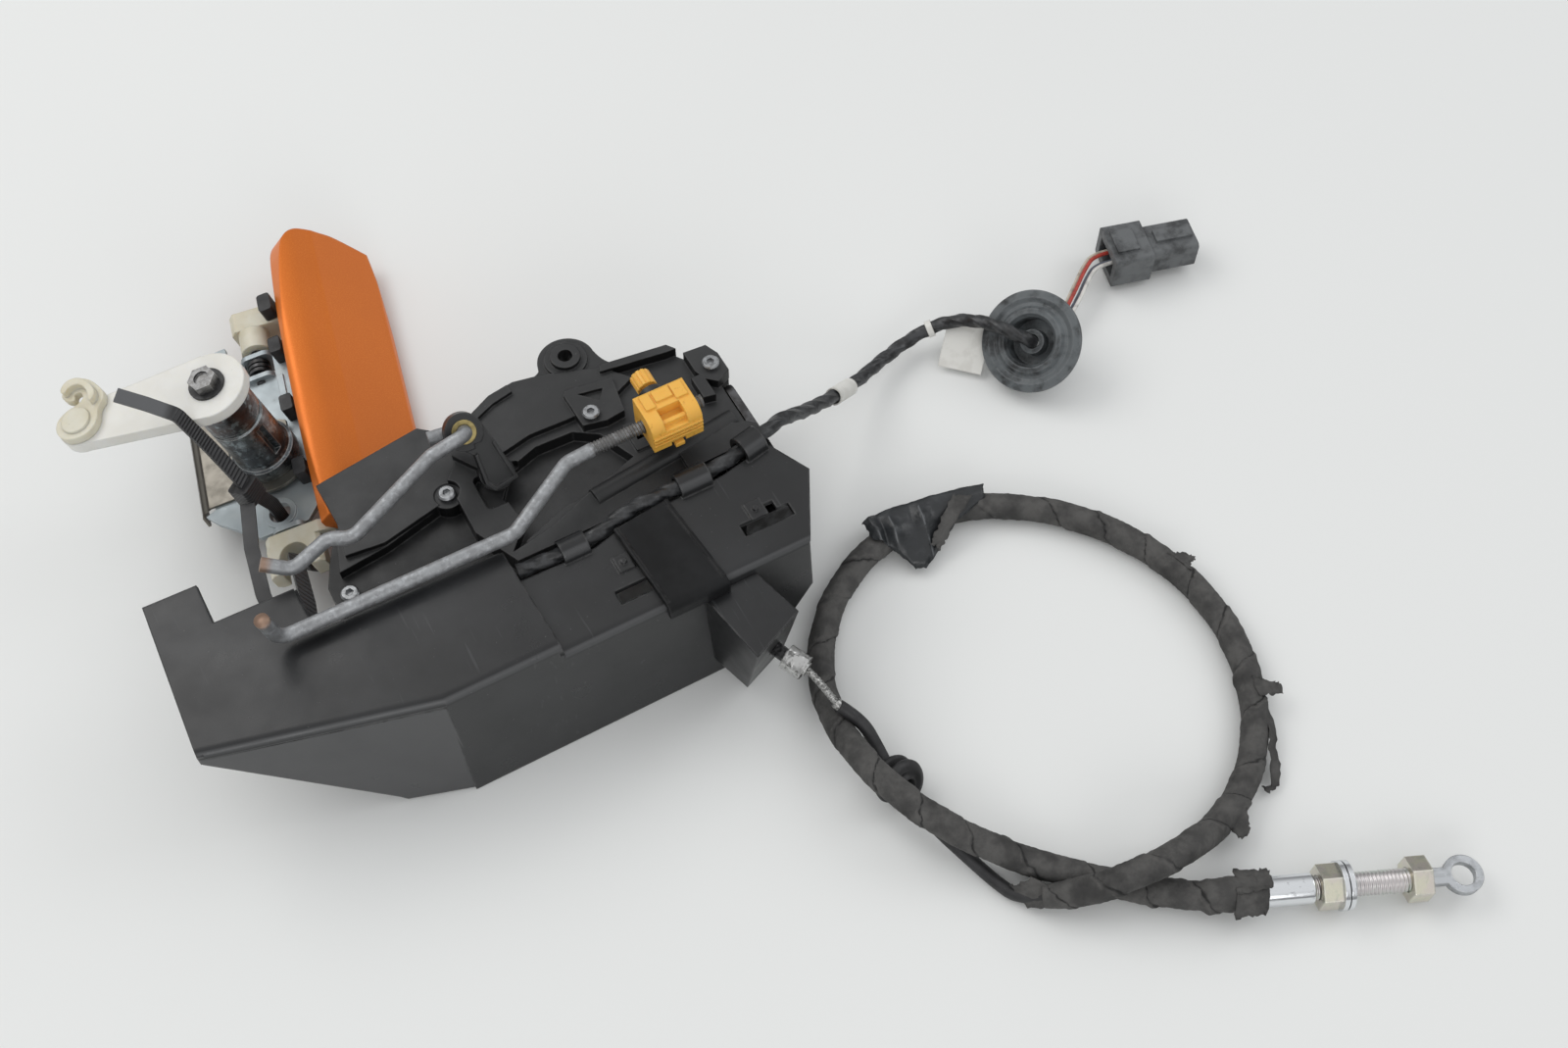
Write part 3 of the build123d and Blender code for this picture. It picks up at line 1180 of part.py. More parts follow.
# Rubber grommet of two discs on the jacket
with BuildPart() as cable_grommet:
    rubber = Plane(origin=(-16.1, -120.0, -16.13), z_dir=(0.088, -0.995, -0.04))
    for start, long, r in ((-4.2, 2.6, 8), (-1.6, 3.2, 5.6), (1.6, 2.6, 8)):
        with BuildSketch(rubber.offset(start)):
            Circle(r)
            Circle(JACKET_D / 2 + 0.12, mode=Mode.SUBTRACT)
        extrude(amount=long)
cable_grommet.part.label = "cable_grommet"

# End fitting on one straight axis
END = Plane(origin=(63.6, -208.9, -15.9), z_dir=(0.914, -0.405, 0))
with BuildPart() as end_tube:
    with BuildSketch(END):
        Circle(5)
    extrude(amount=19)
    with BuildSketch(END.offset(19)):
        Circle(1.6)
    extrude(amount=-19, mode=Mode.SUBTRACT)
    fillet(end_tube.edges().filter_by(GeomType.CIRCLE).sort_by_distance(END.offset(19).origin)[0:2].sort_by(SortBy.RADIUS)[-1], 1)
end_tube.part.label = "end_tube"

with BuildPart() as threaded_sleeve:
    with BuildSketch(END.offset(19)):
        Circle(4)
        Circle(1.6, mode=Mode.SUBTRACT)
    extrude(amount=38)
threaded_sleeve.part.label = "threaded_sleeve"

with BuildPart() as lock_nuts:
    for start in (20.4, 49.6):
        with BuildSketch(END.offset(start)):
            RegularPolygon(7.5, 6, rotation=30)
            Circle(4, mode=Mode.SUBTRACT)
        extrude(amount=6.5)
lock_nuts.part.label = "lock_nuts"

with BuildPart() as washers:
    for start in (26.9, 28.9):
        with BuildSketch(END.offset(start)):
            Circle(8)
            Circle(4, mode=Mode.SUBTRACT)
        extrude(amount=1.6)
washers.part.label = "washers"

with BuildPart() as cable_eyelet:
    with BuildSketch(END.offset(40)):
        Circle(1.5)
    extrude(amount=22)
    flat = Plane(origin=END.origin + END.z_dir * 68, x_dir=END.z_dir, z_dir=(0, 0, 1))
    with BuildSketch(flat.offset(-1.4)):
        with Locations((0, 0)):
            Circle(6.4)
            Circle(3.9, mode=Mode.SUBTRACT)
        with Locations((-7.9, 0)):
            RectangleRounded(5.6, 5.4, 1)
    extrude(amount=2.8)
cable_eyelet.part.label = "cable_eyelet"

for made in (case_base, case_cover, cover_screws, shield, shield_lid, cable_box, face_plate, latch_frame, claw, claw_pin,
             claw_spring, pawl, pawl_pin, pawl_spring, release_lever, release_pin, rod_clip, clip_button, release_rod,
             lock_lever, lock_pin, brass_bush, lock_rod, lock_motor, motor_worm, worm_wheel, wheel_pin, handle_bracket,
             outer_handle, upper_arm, lower_arm, hinge_pins, handle_spring, handle_pads, arm_buffer, lock_barrel,
             lock_plug, barrel_retainer, barrel_guard, key_lever, lever_bolt, bolt_collar, lever_clip, cable_tie,
             tie_head, harness_cord, cord_labels, door_grommet, wire_tails, connector, cable_stub, inner_wire,
             cable_jacket, cable_wrap, cable_grommet, end_tube, threaded_sleeve, lock_nuts, washers, cable_eyelet):
    export_step(made.part, "parts/" + made.part.label + ".step")
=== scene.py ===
import math
import bpy
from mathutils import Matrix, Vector, noise


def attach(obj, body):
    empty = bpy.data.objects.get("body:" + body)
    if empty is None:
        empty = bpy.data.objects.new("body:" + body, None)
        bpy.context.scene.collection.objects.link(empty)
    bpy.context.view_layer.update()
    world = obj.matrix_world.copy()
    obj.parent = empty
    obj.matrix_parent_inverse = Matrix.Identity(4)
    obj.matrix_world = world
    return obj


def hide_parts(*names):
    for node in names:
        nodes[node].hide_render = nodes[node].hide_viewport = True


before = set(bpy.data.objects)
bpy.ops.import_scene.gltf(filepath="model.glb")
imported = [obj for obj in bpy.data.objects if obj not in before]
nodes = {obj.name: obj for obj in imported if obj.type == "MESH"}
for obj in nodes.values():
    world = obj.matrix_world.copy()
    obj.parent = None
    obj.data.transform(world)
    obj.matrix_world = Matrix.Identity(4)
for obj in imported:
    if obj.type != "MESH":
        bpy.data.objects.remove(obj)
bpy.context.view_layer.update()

# Camera: it looks down at 58 degrees, from 29 degrees left of the latch's front, 64 cm away from a spot
# near the middle of the table. Its lens is 40 mm long, on a sensor 36 mm wide.
AIM = Vector((0.002, -0.010, -0.024))
AWAY = 0.640
camera_data = bpy.data.cameras.new("camera")
camera_data.lens = 40
camera_data.sensor_width = 36
camera_data.clip_end = 10
camera = bpy.data.objects.new("camera", camera_data)
back = Vector((-0.2569, -0.4635, 0.8480))
camera.location = AIM + back * AWAY
camera.rotation_euler = back.to_track_quat("Z", "Y").to_euler()
bpy.context.scene.collection.objects.link(camera)
bpy.context.scene.camera = camera


# Table: a pale matt board with a trace of cloudiness, under the whole object. A wide panel lights it from
# behind on the left, and two weaker ones from the right and the front, in a room that is bright above and
# dim at the sides.
class Value:
    """One number that changes over a surface. Plain arithmetic on it adds Math nodes."""

    def __init__(self, bench, socket):
        self.bench = bench
        self.socket = socket

    def math(self, kind, first, second=None):
        wanted = {0: first} if second is None else {0: first, 1: second}
        return self.bench.node("ShaderNodeMath", {"operation": kind}, wanted)

    def __sub__(self, other):
        return self.math("SUBTRACT", self, other)

    def __rsub__(self, other):
        return self.math("SUBTRACT", other, self)

    def __mul__(self, other):
        return self.math("MULTIPLY", self, other)

    __rmul__ = __mul__

    def sine(self):
        return self.math("SINE", self)

    def above(self, level, soft=0.05):
        return self.bench.node("ShaderNodeMapRange", {"interpolation_type": "SMOOTHSTEP"},
                               {"Value": self, "From Min": level - soft, "From Max": level + soft})

    def below(self, level, soft=0.05):
        return 1 - self.above(level, soft)


class Bench:
    """A shader and the nodes that feed it. Every other node comes from node()."""

    def __init__(self, tree, shader):
        self.tree = tree
        self.shader = tree.nodes[shader]

    def set(self, name, value):
        self.shader.inputs[name].default_value = value

    def feed(self, name, value):
        self.tree.links.new(value.socket, self.shader.inputs[name])

    def node(self, kind, settings=None, sockets=None, out=0):
        made = self.tree.nodes.new(kind)
        for key, value in (settings or {}).items():
            setattr(made, key, value)
        for key, value in (sockets or {}).items():
            if isinstance(value, Value):
                self.tree.links.new(value.socket, made.inputs[key])
            else:
                made.inputs[key].default_value = value
        return Value(self, made.outputs[out])


class Finish(Bench):
    """A finish built from values. Colours are linear, sizes are metres."""

    def __init__(self, name, color, roughness=0.5, metallic=0.0, coat=0.0, coat_roughness=0.1, specular=0.5):
        self.material = bpy.data.materials.new(name)
        self.material.use_nodes = True
        super().__init__(self.material.node_tree, "Principled BSDF")
        self.set("Base Color", (*color, 1.0))
        self.set("Roughness", roughness)
        self.set("Metallic", metallic)
        self.set("Coat Weight", coat)
        self.set("Coat Roughness", coat_roughness)
        self.set("Specular IOR Level", specular)
        self.color = None
        self.dents = []

    def glow_through(self, weight, reach):
        self.set("Subsurface Weight", weight)
        self.set("Subsurface Radius", reach)
        self.set("Subsurface Scale", 1.0)

    def place(self, scale=(1, 1, 1), turn=(0, 0, 0), shift=(0, 0, 0)):
        spot = self.node("ShaderNodeTexCoord", out="Object")
        return self.node("ShaderNodeMapping", None,
                         {"Vector": spot, "Scale": scale, "Rotation": turn, "Location": shift})

    def grain(self, size, detail=3.0, rough=0.55, scale=(1, 1, 1), turn=(0, 0, 0), shift=(0, 0, 0)):
        return self.node("ShaderNodeTexNoise", None,
                         {"Vector": self.place(scale, turn, shift), "Scale": 1.0 / size,
                          "Detail": detail, "Roughness": rough})

    def along(self, direction, origin=(0, 0, 0)):
        spot = self.node("ShaderNodeTexCoord", out="Object")
        gap = self.node("ShaderNodeVectorMath", {"operation": "SUBTRACT"}, {0: spot, 1: origin})
        return self.node("ShaderNodeVectorMath", {"operation": "DOT_PRODUCT"},
                         {0: gap, 1: Vector(direction).normalized()}, out="Value")

    def near(self, point):
        spot = self.node("ShaderNodeTexCoord", out="Object")
        return self.node("ShaderNodeVectorMath", {"operation": "DISTANCE"}, {0: spot, 1: point},
                         out="Value")

    def facing(self, direction):
        lean = self.node("ShaderNodeNewGeometry", out="Normal")
        return self.node("ShaderNodeVectorMath", {"operation": "DOT_PRODUCT"}, {0: lean, 1: direction},
                         out="Value")

    def edges(self, size=0.0012):
        soft = self.node("ShaderNodeBevel", {"samples": 4}, {"Radius": size})
        hard = self.node("ShaderNodeNewGeometry", out="Normal")
        both = self.node("ShaderNodeVectorMath", {"operation": "DOT_PRODUCT"}, {0: soft, 1: hard},
                         out="Value")
        return both.below(0.985, 0.012)

    def tint(self, color, amount):
        # Sockets 6 and 7 are the two colours of a Mix node, and its third output is their mix
        under = self.color or self.shader.inputs["Base Color"].default_value[:]
        self.color = self.node("ShaderNodeMix", {"data_type": "RGBA"},
                               {0: amount, 6: under, 7: (*color, 1.0)}, out=2)
        self.feed("Base Color", self.color)

    def vary(self, name, value, low, high):
        spread = self.node("ShaderNodeMapRange", None,
                           {"Value": value, "From Min": 0.3, "From Max": 0.7, "To Min": low, "To Max": high})
        self.feed(name, spread)

    def dent(self, value, depth, strength=1.0):
        self.dents.append((value, depth, strength))

    def done(self, rounding=0.0):
        lean = self.node("ShaderNodeBevel", {"samples": 6}, {"Radius": rounding}) if rounding else None
        for value, depth, strength in self.dents:
            wanted = {"Height": value, "Distance": depth, "Strength": strength}
            if lean is not None:
                wanted["Normal"] = lean
            lean = self.node("ShaderNodeBump", None, wanted)
        if lean is not None:
            self.feed("Normal", lean)
        return self.material


def mesh_piece(name, verts, faces, *materials, smooth=True):
    data = bpy.data.meshes.new(name)
    data.from_pydata([tuple(v) for v in verts], [], faces)
    data.update()
    for face in data.polygons:
        face.use_smooth = smooth
    for material in materials:
        data.materials.append(material)
    made = bpy.data.objects.new(name, data)
    bpy.context.scene.collection.objects.link(made)
    return made


board = Finish("pale board", (0.79, 0.80, 0.79), roughness=0.8, specular=0.3)
board.tint((0.77, 0.78, 0.77), board.grain(0.4, 2))
TABLE_TOP = -0.024
TABLE_HALF = 9
corners = [(x * TABLE_HALF, y * TABLE_HALF, TABLE_TOP) for x, y in ((-1, -1), (1, -1), (1, 1), (-1, 1))]
table = mesh_piece("table", corners, [(0, 1, 2, 3)], board.done(), smooth=False)


def lamp(name, spot, width, height, power, color=(1, 1, 1)):
    data = bpy.data.lights.new(name, "AREA")
    data.shape = "RECTANGLE"
    data.size = width
    data.size_y = height
    data.energy = power
    data.color = color
    made = bpy.data.objects.new(name, data)
    made.location = spot
    made.rotation_euler = Vector(spot).to_track_quat("Z", "Y").to_euler()
    bpy.context.scene.collection.objects.link(made)
    return made


lamp("back panel", (-0.55, 0.75, 1.05), 1.1, 0.7, 5.2, (1.0, 0.99, 0.97))
lamp("side panel", (1.15, -0.15, 0.9), 0.6, 0.8, 2.4, (0.96, 0.98, 1.0))
lamp("front panel", (-0.5, -1.25, 0.62), 1.0, 0.5, 4.2, (1.0, 1.0, 1.0))
room = bpy.data.worlds.new("room")
bpy.context.scene.world = room
room.use_nodes = True
air = Bench(room.node_tree, "Background")
air.set("Color", (0.985, 0.99, 1.0, 1))
heading = air.node("ShaderNodeTexCoord", out="Generated")
height = air.node("ShaderNodeSeparateXYZ", None, {0: heading}, out="Z")
air.feed("Strength", air.node("ShaderNodeMapRange", {"interpolation_type": "SMOOTHSTEP"},
                              {"Value": height, "From Min": 0.15, "From Max": 0.85,
                               "To Min": 0.30, "To Max": 0.84}))
bpy.context.scene.view_settings.view_transform = "Standard"

# Wiring harness: a bundle of wires twisted to three lobes under thin black tape. It lies along a channel in
# the shield, comes down past the face plate to the table and ends inside the door grommet.


def section(name, outline):
    # A closed outline, as a cord's section
    curve = bpy.data.curves.new(name, "CURVE")
    curve.dimensions = "2D"
    line = curve.splines.new("POLY")
    line.points.add(len(outline) - 1)
    for point, (x, y) in zip(line.points, outline):
        point.co = (x, y, 0, 1)
    line.use_cyclic_u = True
    made = bpy.data.objects.new(name, curve)
    bpy.context.scene.collection.objects.link(made)
    made.hide_render = True
    return made


def run(name, route, material=None, radius=0.0, outline=None, pitch=None, steps=14):
    # A cord along route points given in millimetres
    curve = bpy.data.curves.new(name, "CURVE")
    curve.dimensions = "3D"
    line = curve.splines.new("NURBS")
    line.points.add(len(route) - 1)
    turned = 0.0
    for k, point in enumerate(line.points):
        point.co = (*[c / 1000 for c in route[k]], 1)
        if pitch and k:
            turned += 2 * math.pi * (Vector(route[k]) - Vector(route[k - 1])).length / pitch
            point.tilt = turned
    line.order_u = 3
    line.use_endpoint_u = True
    line.resolution_u = steps
    if outline:
        curve.bevel_mode = "OBJECT"
        curve.bevel_object = outline
    else:
        curve.bevel_depth = radius / 1000
        curve.bevel_resolution = 6
    curve.use_fill_caps = True
    if material:
        curve.materials.append(material)
    made = bpy.data.objects.new(name, curve)
    bpy.context.scene.collection.objects.link(made)
    return made


def centreline(name, route, steps):
    # The points of a cord's own spline
    bare = run(name, route, steps=steps)
    bpy.context.view_layer.update()
    line = bpy.data.meshes.new_from_object(bare.evaluated_get(bpy.context.evaluated_depsgraph_get()))
    points = [v.co.copy() for v in line.vertices]
    bpy.data.objects.remove(bare)
    return points


def long(points):
    return sum((b - a).length for a, b in zip(points, points[1:]))


thin = Finish("thin black tape", (0.014, 0.0145, 0.0155), roughness=0.4)
thin.tint((0.06, 0.063, 0.067), thin.grain(0.004, 4).above(0.52, 0.1) * 0.55)
thin.vary("Roughness", thin.grain(0.003, 3), 0.28, 0.52)
thin.dent(thin.grain(0.0016, 4, 0.6), 0.0003, 0.5)
HARNESS = [(-98.5, -11.0, 26), (-87.6, -11.9, 26), (-71, -11.6, 26), (-57, -7.8, 27.2), (-43, -7.7, 26.8),
           (-22.5, -6.9, 26.6), (-10.5, -4.4, 26.8), (-2.4, -2.2, 26.6), (7.5, 1.8, 24.6), (18.5, 6.4, 15),
           (33.8, 14.1, 3), (51.0, 23.6, -9.4), (69.1, 32.6, -16), (86, 36.6, -16.2), (98.4, 33.6, -11.4),
           (106.6, 22.4, -3.6), (114.2, 5.6, -0.8), (119.0, 6.5, -6.8)]
LOBE_POINTS = 30
TWIST = 30
lobes = []
for k in range(LOBE_POINTS):
    a = 2 * math.pi * k / LOBE_POINTS
    r = 0.00246 + 0.00022 * math.cos(3 * a) + 0.00007 * math.cos(7 * a + 1)
    lobes.append((r * math.cos(a), r * math.sin(a)))
harness = run("harness", HARNESS, thin.done(), outline=section("harness_section", lobes), pitch=TWIST, steps=12)
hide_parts("harness_cord")
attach(harness, "frame")

# Labels on the harness: two narrow bands and a bare tag of coated paper, each stuck round the tape and
# back on itself. They are off-white and a little soiled.


def dress(material, *names):
    for name in names:
        mesh = nodes[name].data
        mesh.materials.clear()
        mesh.materials.append(material)


label = Finish("label stock", (0.70, 0.695, 0.66), roughness=0.5)
label.tint((0.56, 0.55, 0.51), label.grain(0.006, 3).above(0.55, 0.1) * 0.5)
label.tint((0.40, 0.39, 0.36), label.edges(0.0006) * 0.5)
label.dent(label.grain(0.004, 3), 0.0004, 0.4)
dress(label.done(), "cord_labels")

# Wires between the grommet and the connector: white, blue-grey, red and cream PVC over copper, 1.6 mm
# each. They leave the grommet's neck and spread loosely, each on its own curve, into the connector.


def sweep(points, around, reach, verts, faces):
    # Rings round a line of points. reach(s, a, spot) is the distance from it, s metres along, at angle a
    first = len(verts)
    s = 0.0
    side = None
    for k, spot in enumerate(points):
        ahead = (points[min(k + 1, len(points) - 1)] - points[max(k - 1, 0)]).normalized()
        side = side or ahead.orthogonal()
        side = (side - ahead * side.dot(ahead)).normalized()
        other = ahead.cross(side)
        s += (spot - points[k - 1]).length if k else 0.0
        for j in range(around):
            a = 2 * math.pi * j / around
            out = side * math.cos(a) + other * math.sin(a)
            verts.append(spot + out * reach(s, a, spot + out * 0.004))
        if k:
            low = first + (k - 1) * around
            for j in range(around):
                n = (j + 1) % around
                faces.append((low + j, low + n, low + around + n, low + around + j))
    faces.append(tuple(range(first + around - 1, first - 1, -1)))
    faces.append(tuple(range(len(verts) - around, len(verts))))


TAIL = [(127.2, 9.4, -17.3), (132.2, 11.3, -20.6), (138.6, 14.4, -20), (145.4, 18.6, -16.6), (153.4, 23.9, -15.2),
        (160.6, 29.4, -14.6), (167.6, 33.2, -14), (175.86, 30.94, -14)]
SPREAD = [0.55, 0.6, 1.1, 1.6, 1.9, 1.8, 1.7, 1.7]
WIRE_RADIUS = 0.00078
WIRES = [(-1.9, 0.2, "white wire", (0.66, 0.65, 0.62)), (-0.7, -0.9, "blue-grey wire", (0.17, 0.20, 0.25)),
         (0.6, 0.8, "red wire", (0.42, 0.045, 0.03)), (1.9, -0.3, "cream wire", (0.56, 0.51, 0.42))]
verts, faces, kinds, pvc = [], [], [], []
for number, (dy, dz, name, color) in enumerate(WIRES):
    route = [(x + 0.276 * dy * w, y + dy * w, z + dz * w) for (x, y, z), w in zip(TAIL, SPREAD)]
    before = len(faces)
    sweep(centreline("wire_line", route, 10), 12, lambda s, a, spot: WIRE_RADIUS, verts, faces)
    kinds += [number] * (len(faces) - before)
    skin = Finish(name, color, roughness=0.42)
    skin.tint([c * 0.45 for c in color], skin.grain(0.003, 4).above(0.56, 0.1) * 0.6)
    pvc.append(skin.done())
wires = mesh_piece("wires", verts, faces, *pvc)
for face, kind in zip(wires.data.polygons, kinds):
    face.material_index = kind
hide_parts("wire_tails")
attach(wires, "frame")
long(centreline("harness_line", HARNESS, 12))

# Release cable's sleeve: a short black gland pushed into the cable box, with an aluminium sleeve crimped
# over its end. The sleeve is bright where it was squeezed, and cracked and dirty in its dents.
dull = Finish("dull aluminium", (0.52, 0.52, 0.51), roughness=0.3)
dull.tint((0.12, 0.12, 0.115), dull.grain(0.0026, 3, 0.6).above(0.57, 0.04) * 0.8)
crimped = dull.along((4.6, -8.4, -1.45), (-0.0312, -0.0693, 0.00295)).above(0.0008, 0.0003)
dull.tint((0.010, 0.010, 0.011), 1 - crimped)
dull.vary("Metallic", crimped, 0.0, 1.0)
dull.dent(dull.grain(0.0034, 2), 0.0009, 0.8)
dress(dull.done(0.0003), "cable_stub")

# Bare cable between the sleeve and the jacket: five bright steel strands laid round each other, with a
# small ferrule pressed on where they enter the jacket.
STRAND_LAY = 0.008
strand_look = Finish("bright strand", (0.40, 0.40, 0.39), roughness=0.34, metallic=1.0)
strand_look.tint((0.10, 0.10, 0.095), strand_look.grain(0.0009, 3).above(0.52, 0.06) * 0.8)
WIRE = [(-26.6, -77.7, 1.5), (-25.2, -82, 0.2), (-23.9, -86.6, -2), (-22.4, -91.8, -4.8)]
verts, faces = [], []
sweep(centreline("strand_line", WIRE, 24), 42,
      lambda s, a, spot: 0.00092 + 0.00036 * abs(math.cos(2.5 * (a + 2 * math.pi * s / STRAND_LAY))), verts, faces)
ferrule_start, ferrule_end = Vector((-22.9, -90.2, -4.2)) / 1000, Vector((-21.9, -92.6, -5.4)) / 1000
sweep([ferrule_start + (ferrule_end - ferrule_start) * (k / 8) for k in range(9)], 20,
      lambda s, a, spot: 0.0019 + 0.00018 * noise.noise(spot * 700), verts, faces)
strands = mesh_piece("strands", verts, faces, strand_look.done())
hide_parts("inner_wire")
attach(strands, "frame")

# Cable jacket: a plain black rubber tube, 4.6 mm thick, dull and a little dusty. It runs from the ferrule
# down to the table and into the tape's first turns.
rubber = Finish("black rubber", (0.014, 0.014, 0.015), roughness=0.5)
rubber.tint((0.045, 0.045, 0.047), rubber.grain(0.008, 5, 0.6).above(0.52, 0.14) * 0.5)
rubber.tint((0.13, 0.13, 0.13), rubber.grain(0.001, 2, 0.7).above(0.73, 0.02) * 0.4)
rubber.vary("Roughness", rubber.grain(0.006, 3), 0.40, 0.66)
rubber.dent(rubber.grain(0.001, 3), 0.00008, 0.4)
rubber_black = rubber.done(0.0006)
JACKET = [(-22.4, -91.8, -4.8), (-17.3, -98.2, -8.8), (-16.2, -106.5, -14.2), (-16.6, -114.4, -15.9),
          (-15.5, -126.9, -16.4), (-13.0, -140.2, -18.6), (-8.6, -152.8, -20.8), (-5.2, -164.0, -21.3),
          (-1.6, -172.6, -21), (5.1, -176.7, -18.3)]
jacket = run("jacket", JACKET, rubber_black, radius=2.3)
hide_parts("cable_jacket")
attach(jacket, "frame")

# Cable grommet: two thick moulded rubber flanges with a groove between them for the panel. It is slid on
# the jacket, and tilted so that it rests on its rim.


def turned(centre, direction, outline, around, verts, faces):
    # A closed outline of (along, radius) in millimetres, turned about a line
    middle, ahead = Vector(centre) / 1000, Vector(direction).normalized()
    side = ahead.orthogonal().normalized()
    other = ahead.cross(side)
    first, count = len(verts), len(outline)
    for j in range(around):
        a = 2 * math.pi * j / around
        out = side * math.cos(a) + other * math.sin(a)
        verts.extend(middle + (ahead * t + out * r) / 1000 for t, r in outline)
        n = (j + 1) % around
        for k in range(count):
            m = (k + 1) % count
            faces.append((first + j * count + k, first + n * count + k,
                          first + n * count + m, first + j * count + m))


verts, faces = [], []
turned((-15.9, -120.6, -15.9), (0.26, -0.80, 0.54),
       [(-4.6, 2.35), (-4.6, 4.6), (-4.0, 7.0), (-3.4, 7.9), (-2.4, 8.3), (-1.6, 8.1), (-1.2, 7.5), (-1.2, 5.6),
        (-0.9, 5.2), (1.3, 5.2), (1.6, 5.6), (1.6, 7.7), (2.0, 8.2), (2.8, 8.3), (3.6, 7.9), (4.4, 6.8), (4.7, 5.4),
        (4.1, 4.6), (4.1, 3.4), (5.4, 2.9), (5.4, 2.35)], 48, verts, faces)
flanges = mesh_piece("flanges", verts, faces, rubber_black)
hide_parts("cable_grommet")
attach(flanges, "frame")
long(centreline("jacket_line", JACKET, 14))

# Release cable, wound stretch: the bundle under worn black cloth tape, wound by hand at about 19 mm a
# turn. Each turn lies half over the last, so its free edge stands up, frays and wrinkles.
WRAP = [(5.1, -176.7, -18.3), (15.4, -183.0, -14), (27.4, -187.3, -6.0), (43.7, -188.8, -6.0), (63.5, -185.7, -15),
        (80.9, -179.4, -18.2), (95.6, -168.2, -18.6), (106.4, -153.4, -18.6), (114, -135.5, -18.6),
        (116.5, -115, -18.6), (113, -92.8, -18.6), (102, -70.5, -18.6), (85.8, -52.4, -18.6), (66.2, -40.1, -18.6),
        (44.8, -34.5, -18.6), (23.4, -37, -18.6), (3.3, -46.4, -18.6), (-11.3, -60.6, -18.4), (-20.7, -76.9, -17.5),
        (-25.1, -96.9, -12), (-24.4, -119.0, -4.2), (-18.3, -136.1, -5.2), (-7.7, -151.1, -10), (7.1, -165.4, -17),
        (22.7, -179.9, -18.6), (38.3, -193.8, -18.4), (51.7, -203.63, -15.9), (63.6, -208.9, -15.9)]
TAPE_TURN = 0.019
TAPE_EDGE = 0.94
TAPE_RISE = 0.06
COLLAR = 0.017
START_TAPER = 0.012
LOWEST = -0.0239
wound_line = centreline("wound_line", WRAP, 30)
wound_length = long(wound_line)
edge_lights_and_shades = []


def wound(s, a, spot):
    # Distance of the tape's skin from the cable's middle, and how near the tape's free edge is, kept for a painted
    # highlight on the edge and a painted shadow just past it
    drift = (0.55 * noise.noise(Vector((s * 22, 3.1, 0))) + 0.22 * noise.noise(Vector((s * 61, 9.4, 0)))
             + 0.07 * noise.noise(spot * 190) + 0.05 * noise.noise(spot * 520))
    turn = (s / TAPE_TURN - a / (2 * math.pi) + drift) % 1.0
    rise = min(1.0, turn / TAPE_RISE)
    lap = 0.00044 * (turn if turn < TAPE_EDGE else TAPE_EDGE * (1.0 - turn) / TAPE_RISE)
    lift = 0.0011 * max(0.0, noise.noise(spot * 110 + Vector((7, 0, 0))) - 0.12) * (1.0 if turn > 0.86 else 0.15)
    crease = 0.00034 * abs(noise.noise(Vector((spot.x * 420, spot.y * 420, spot.z * 150)))) * rise
    fat = 0.00445 + lap + lift + crease + 0.00016 * noise.noise(spot * 45)
    left = wound_length - s
    if left < COLLAR:
        # The tape's last turns, folded back into a thick ragged collar round the plated tube
        fat += 0.0014 * min(1.0, (COLLAR - left) / 0.002) * (0.75 + 0.5 * noise.noise(spot * 140))
    if s < START_TAPER:
        fat -= 0.0010 * (1 - s / START_TAPER)
    # Painted light mask: 1 on each turn's free edge for a painted highlight, -1 just past the edge for a painted
    # shadow line
    edge_lights_and_shades.append(max(0.0, 1 - abs(turn - 0.93) / 0.07) - max(0.0, 1 - min(turn, 1 - turn) / 0.05))
    return fat


verts, faces = [], []
sweep(wound_line, 40, wound, verts, faces)
verts = [Vector((v.x, v.y, max(v.z, LOWEST))) for v in verts]
cloth = Finish("wound cloth tape", (0.056, 0.055, 0.0535), roughness=0.86, specular=0.4)
cloth.tint((0.118, 0.115, 0.110), cloth.grain(0.007, 5, 0.65).above(0.5, 0.14) * 0.55)
cloth.tint((0.014, 0.014, 0.014), cloth.grain(0.014, 4, shift=(2, 0, 0)).above(0.56, 0.1) * 0.5)
edge_light_shade = cloth.node("ShaderNodeAttribute", {"attribute_name": "edge_light_and_shade"}, out="Fac")
# Painted highlight along each turn's raised free edge
cloth.tint((0.10, 0.096, 0.092), edge_light_shade.above(0.6, 0.4) * cloth.grain(0.003, 3).above(0.48, 0.1) * 0.6)
# Painted shadow: a near-black line just past each free edge, where the edge overhangs the turn beneath
cloth.tint((0.008, 0.008, 0.008),
           (edge_light_shade * -1).above(0.45, 0.35) * cloth.grain(0.012, 2, shift=(9, 0, 0)).above(0.36, 0.12) * 0.85)
cloth.vary("Roughness", cloth.grain(0.004, 3), 0.76, 0.95)
cloth.dent(cloth.grain(0.0004, 2, 0.7), 0.00025, 0.6)
cloth.dent(cloth.grain(0.0035, 3, 0.6), 0.0007, 0.45)
cloth_black = cloth.done()
wrap = mesh_piece("tape_wrap", verts, faces, cloth_black)
marks = wrap.data.attributes.new("edge_light_and_shade", "FLOAT", "POINT")
marks.data.foreach_set("value", edge_lights_and_shades)
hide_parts("cable_wrap")
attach(wrap, "frame")

# Loose tape: a flap of smooth tape, folded to a point and hanging off the loop's inner side, and torn ends
# of the cloth tape that stick out of the winding, lie over the flap and make its last, thick collar.


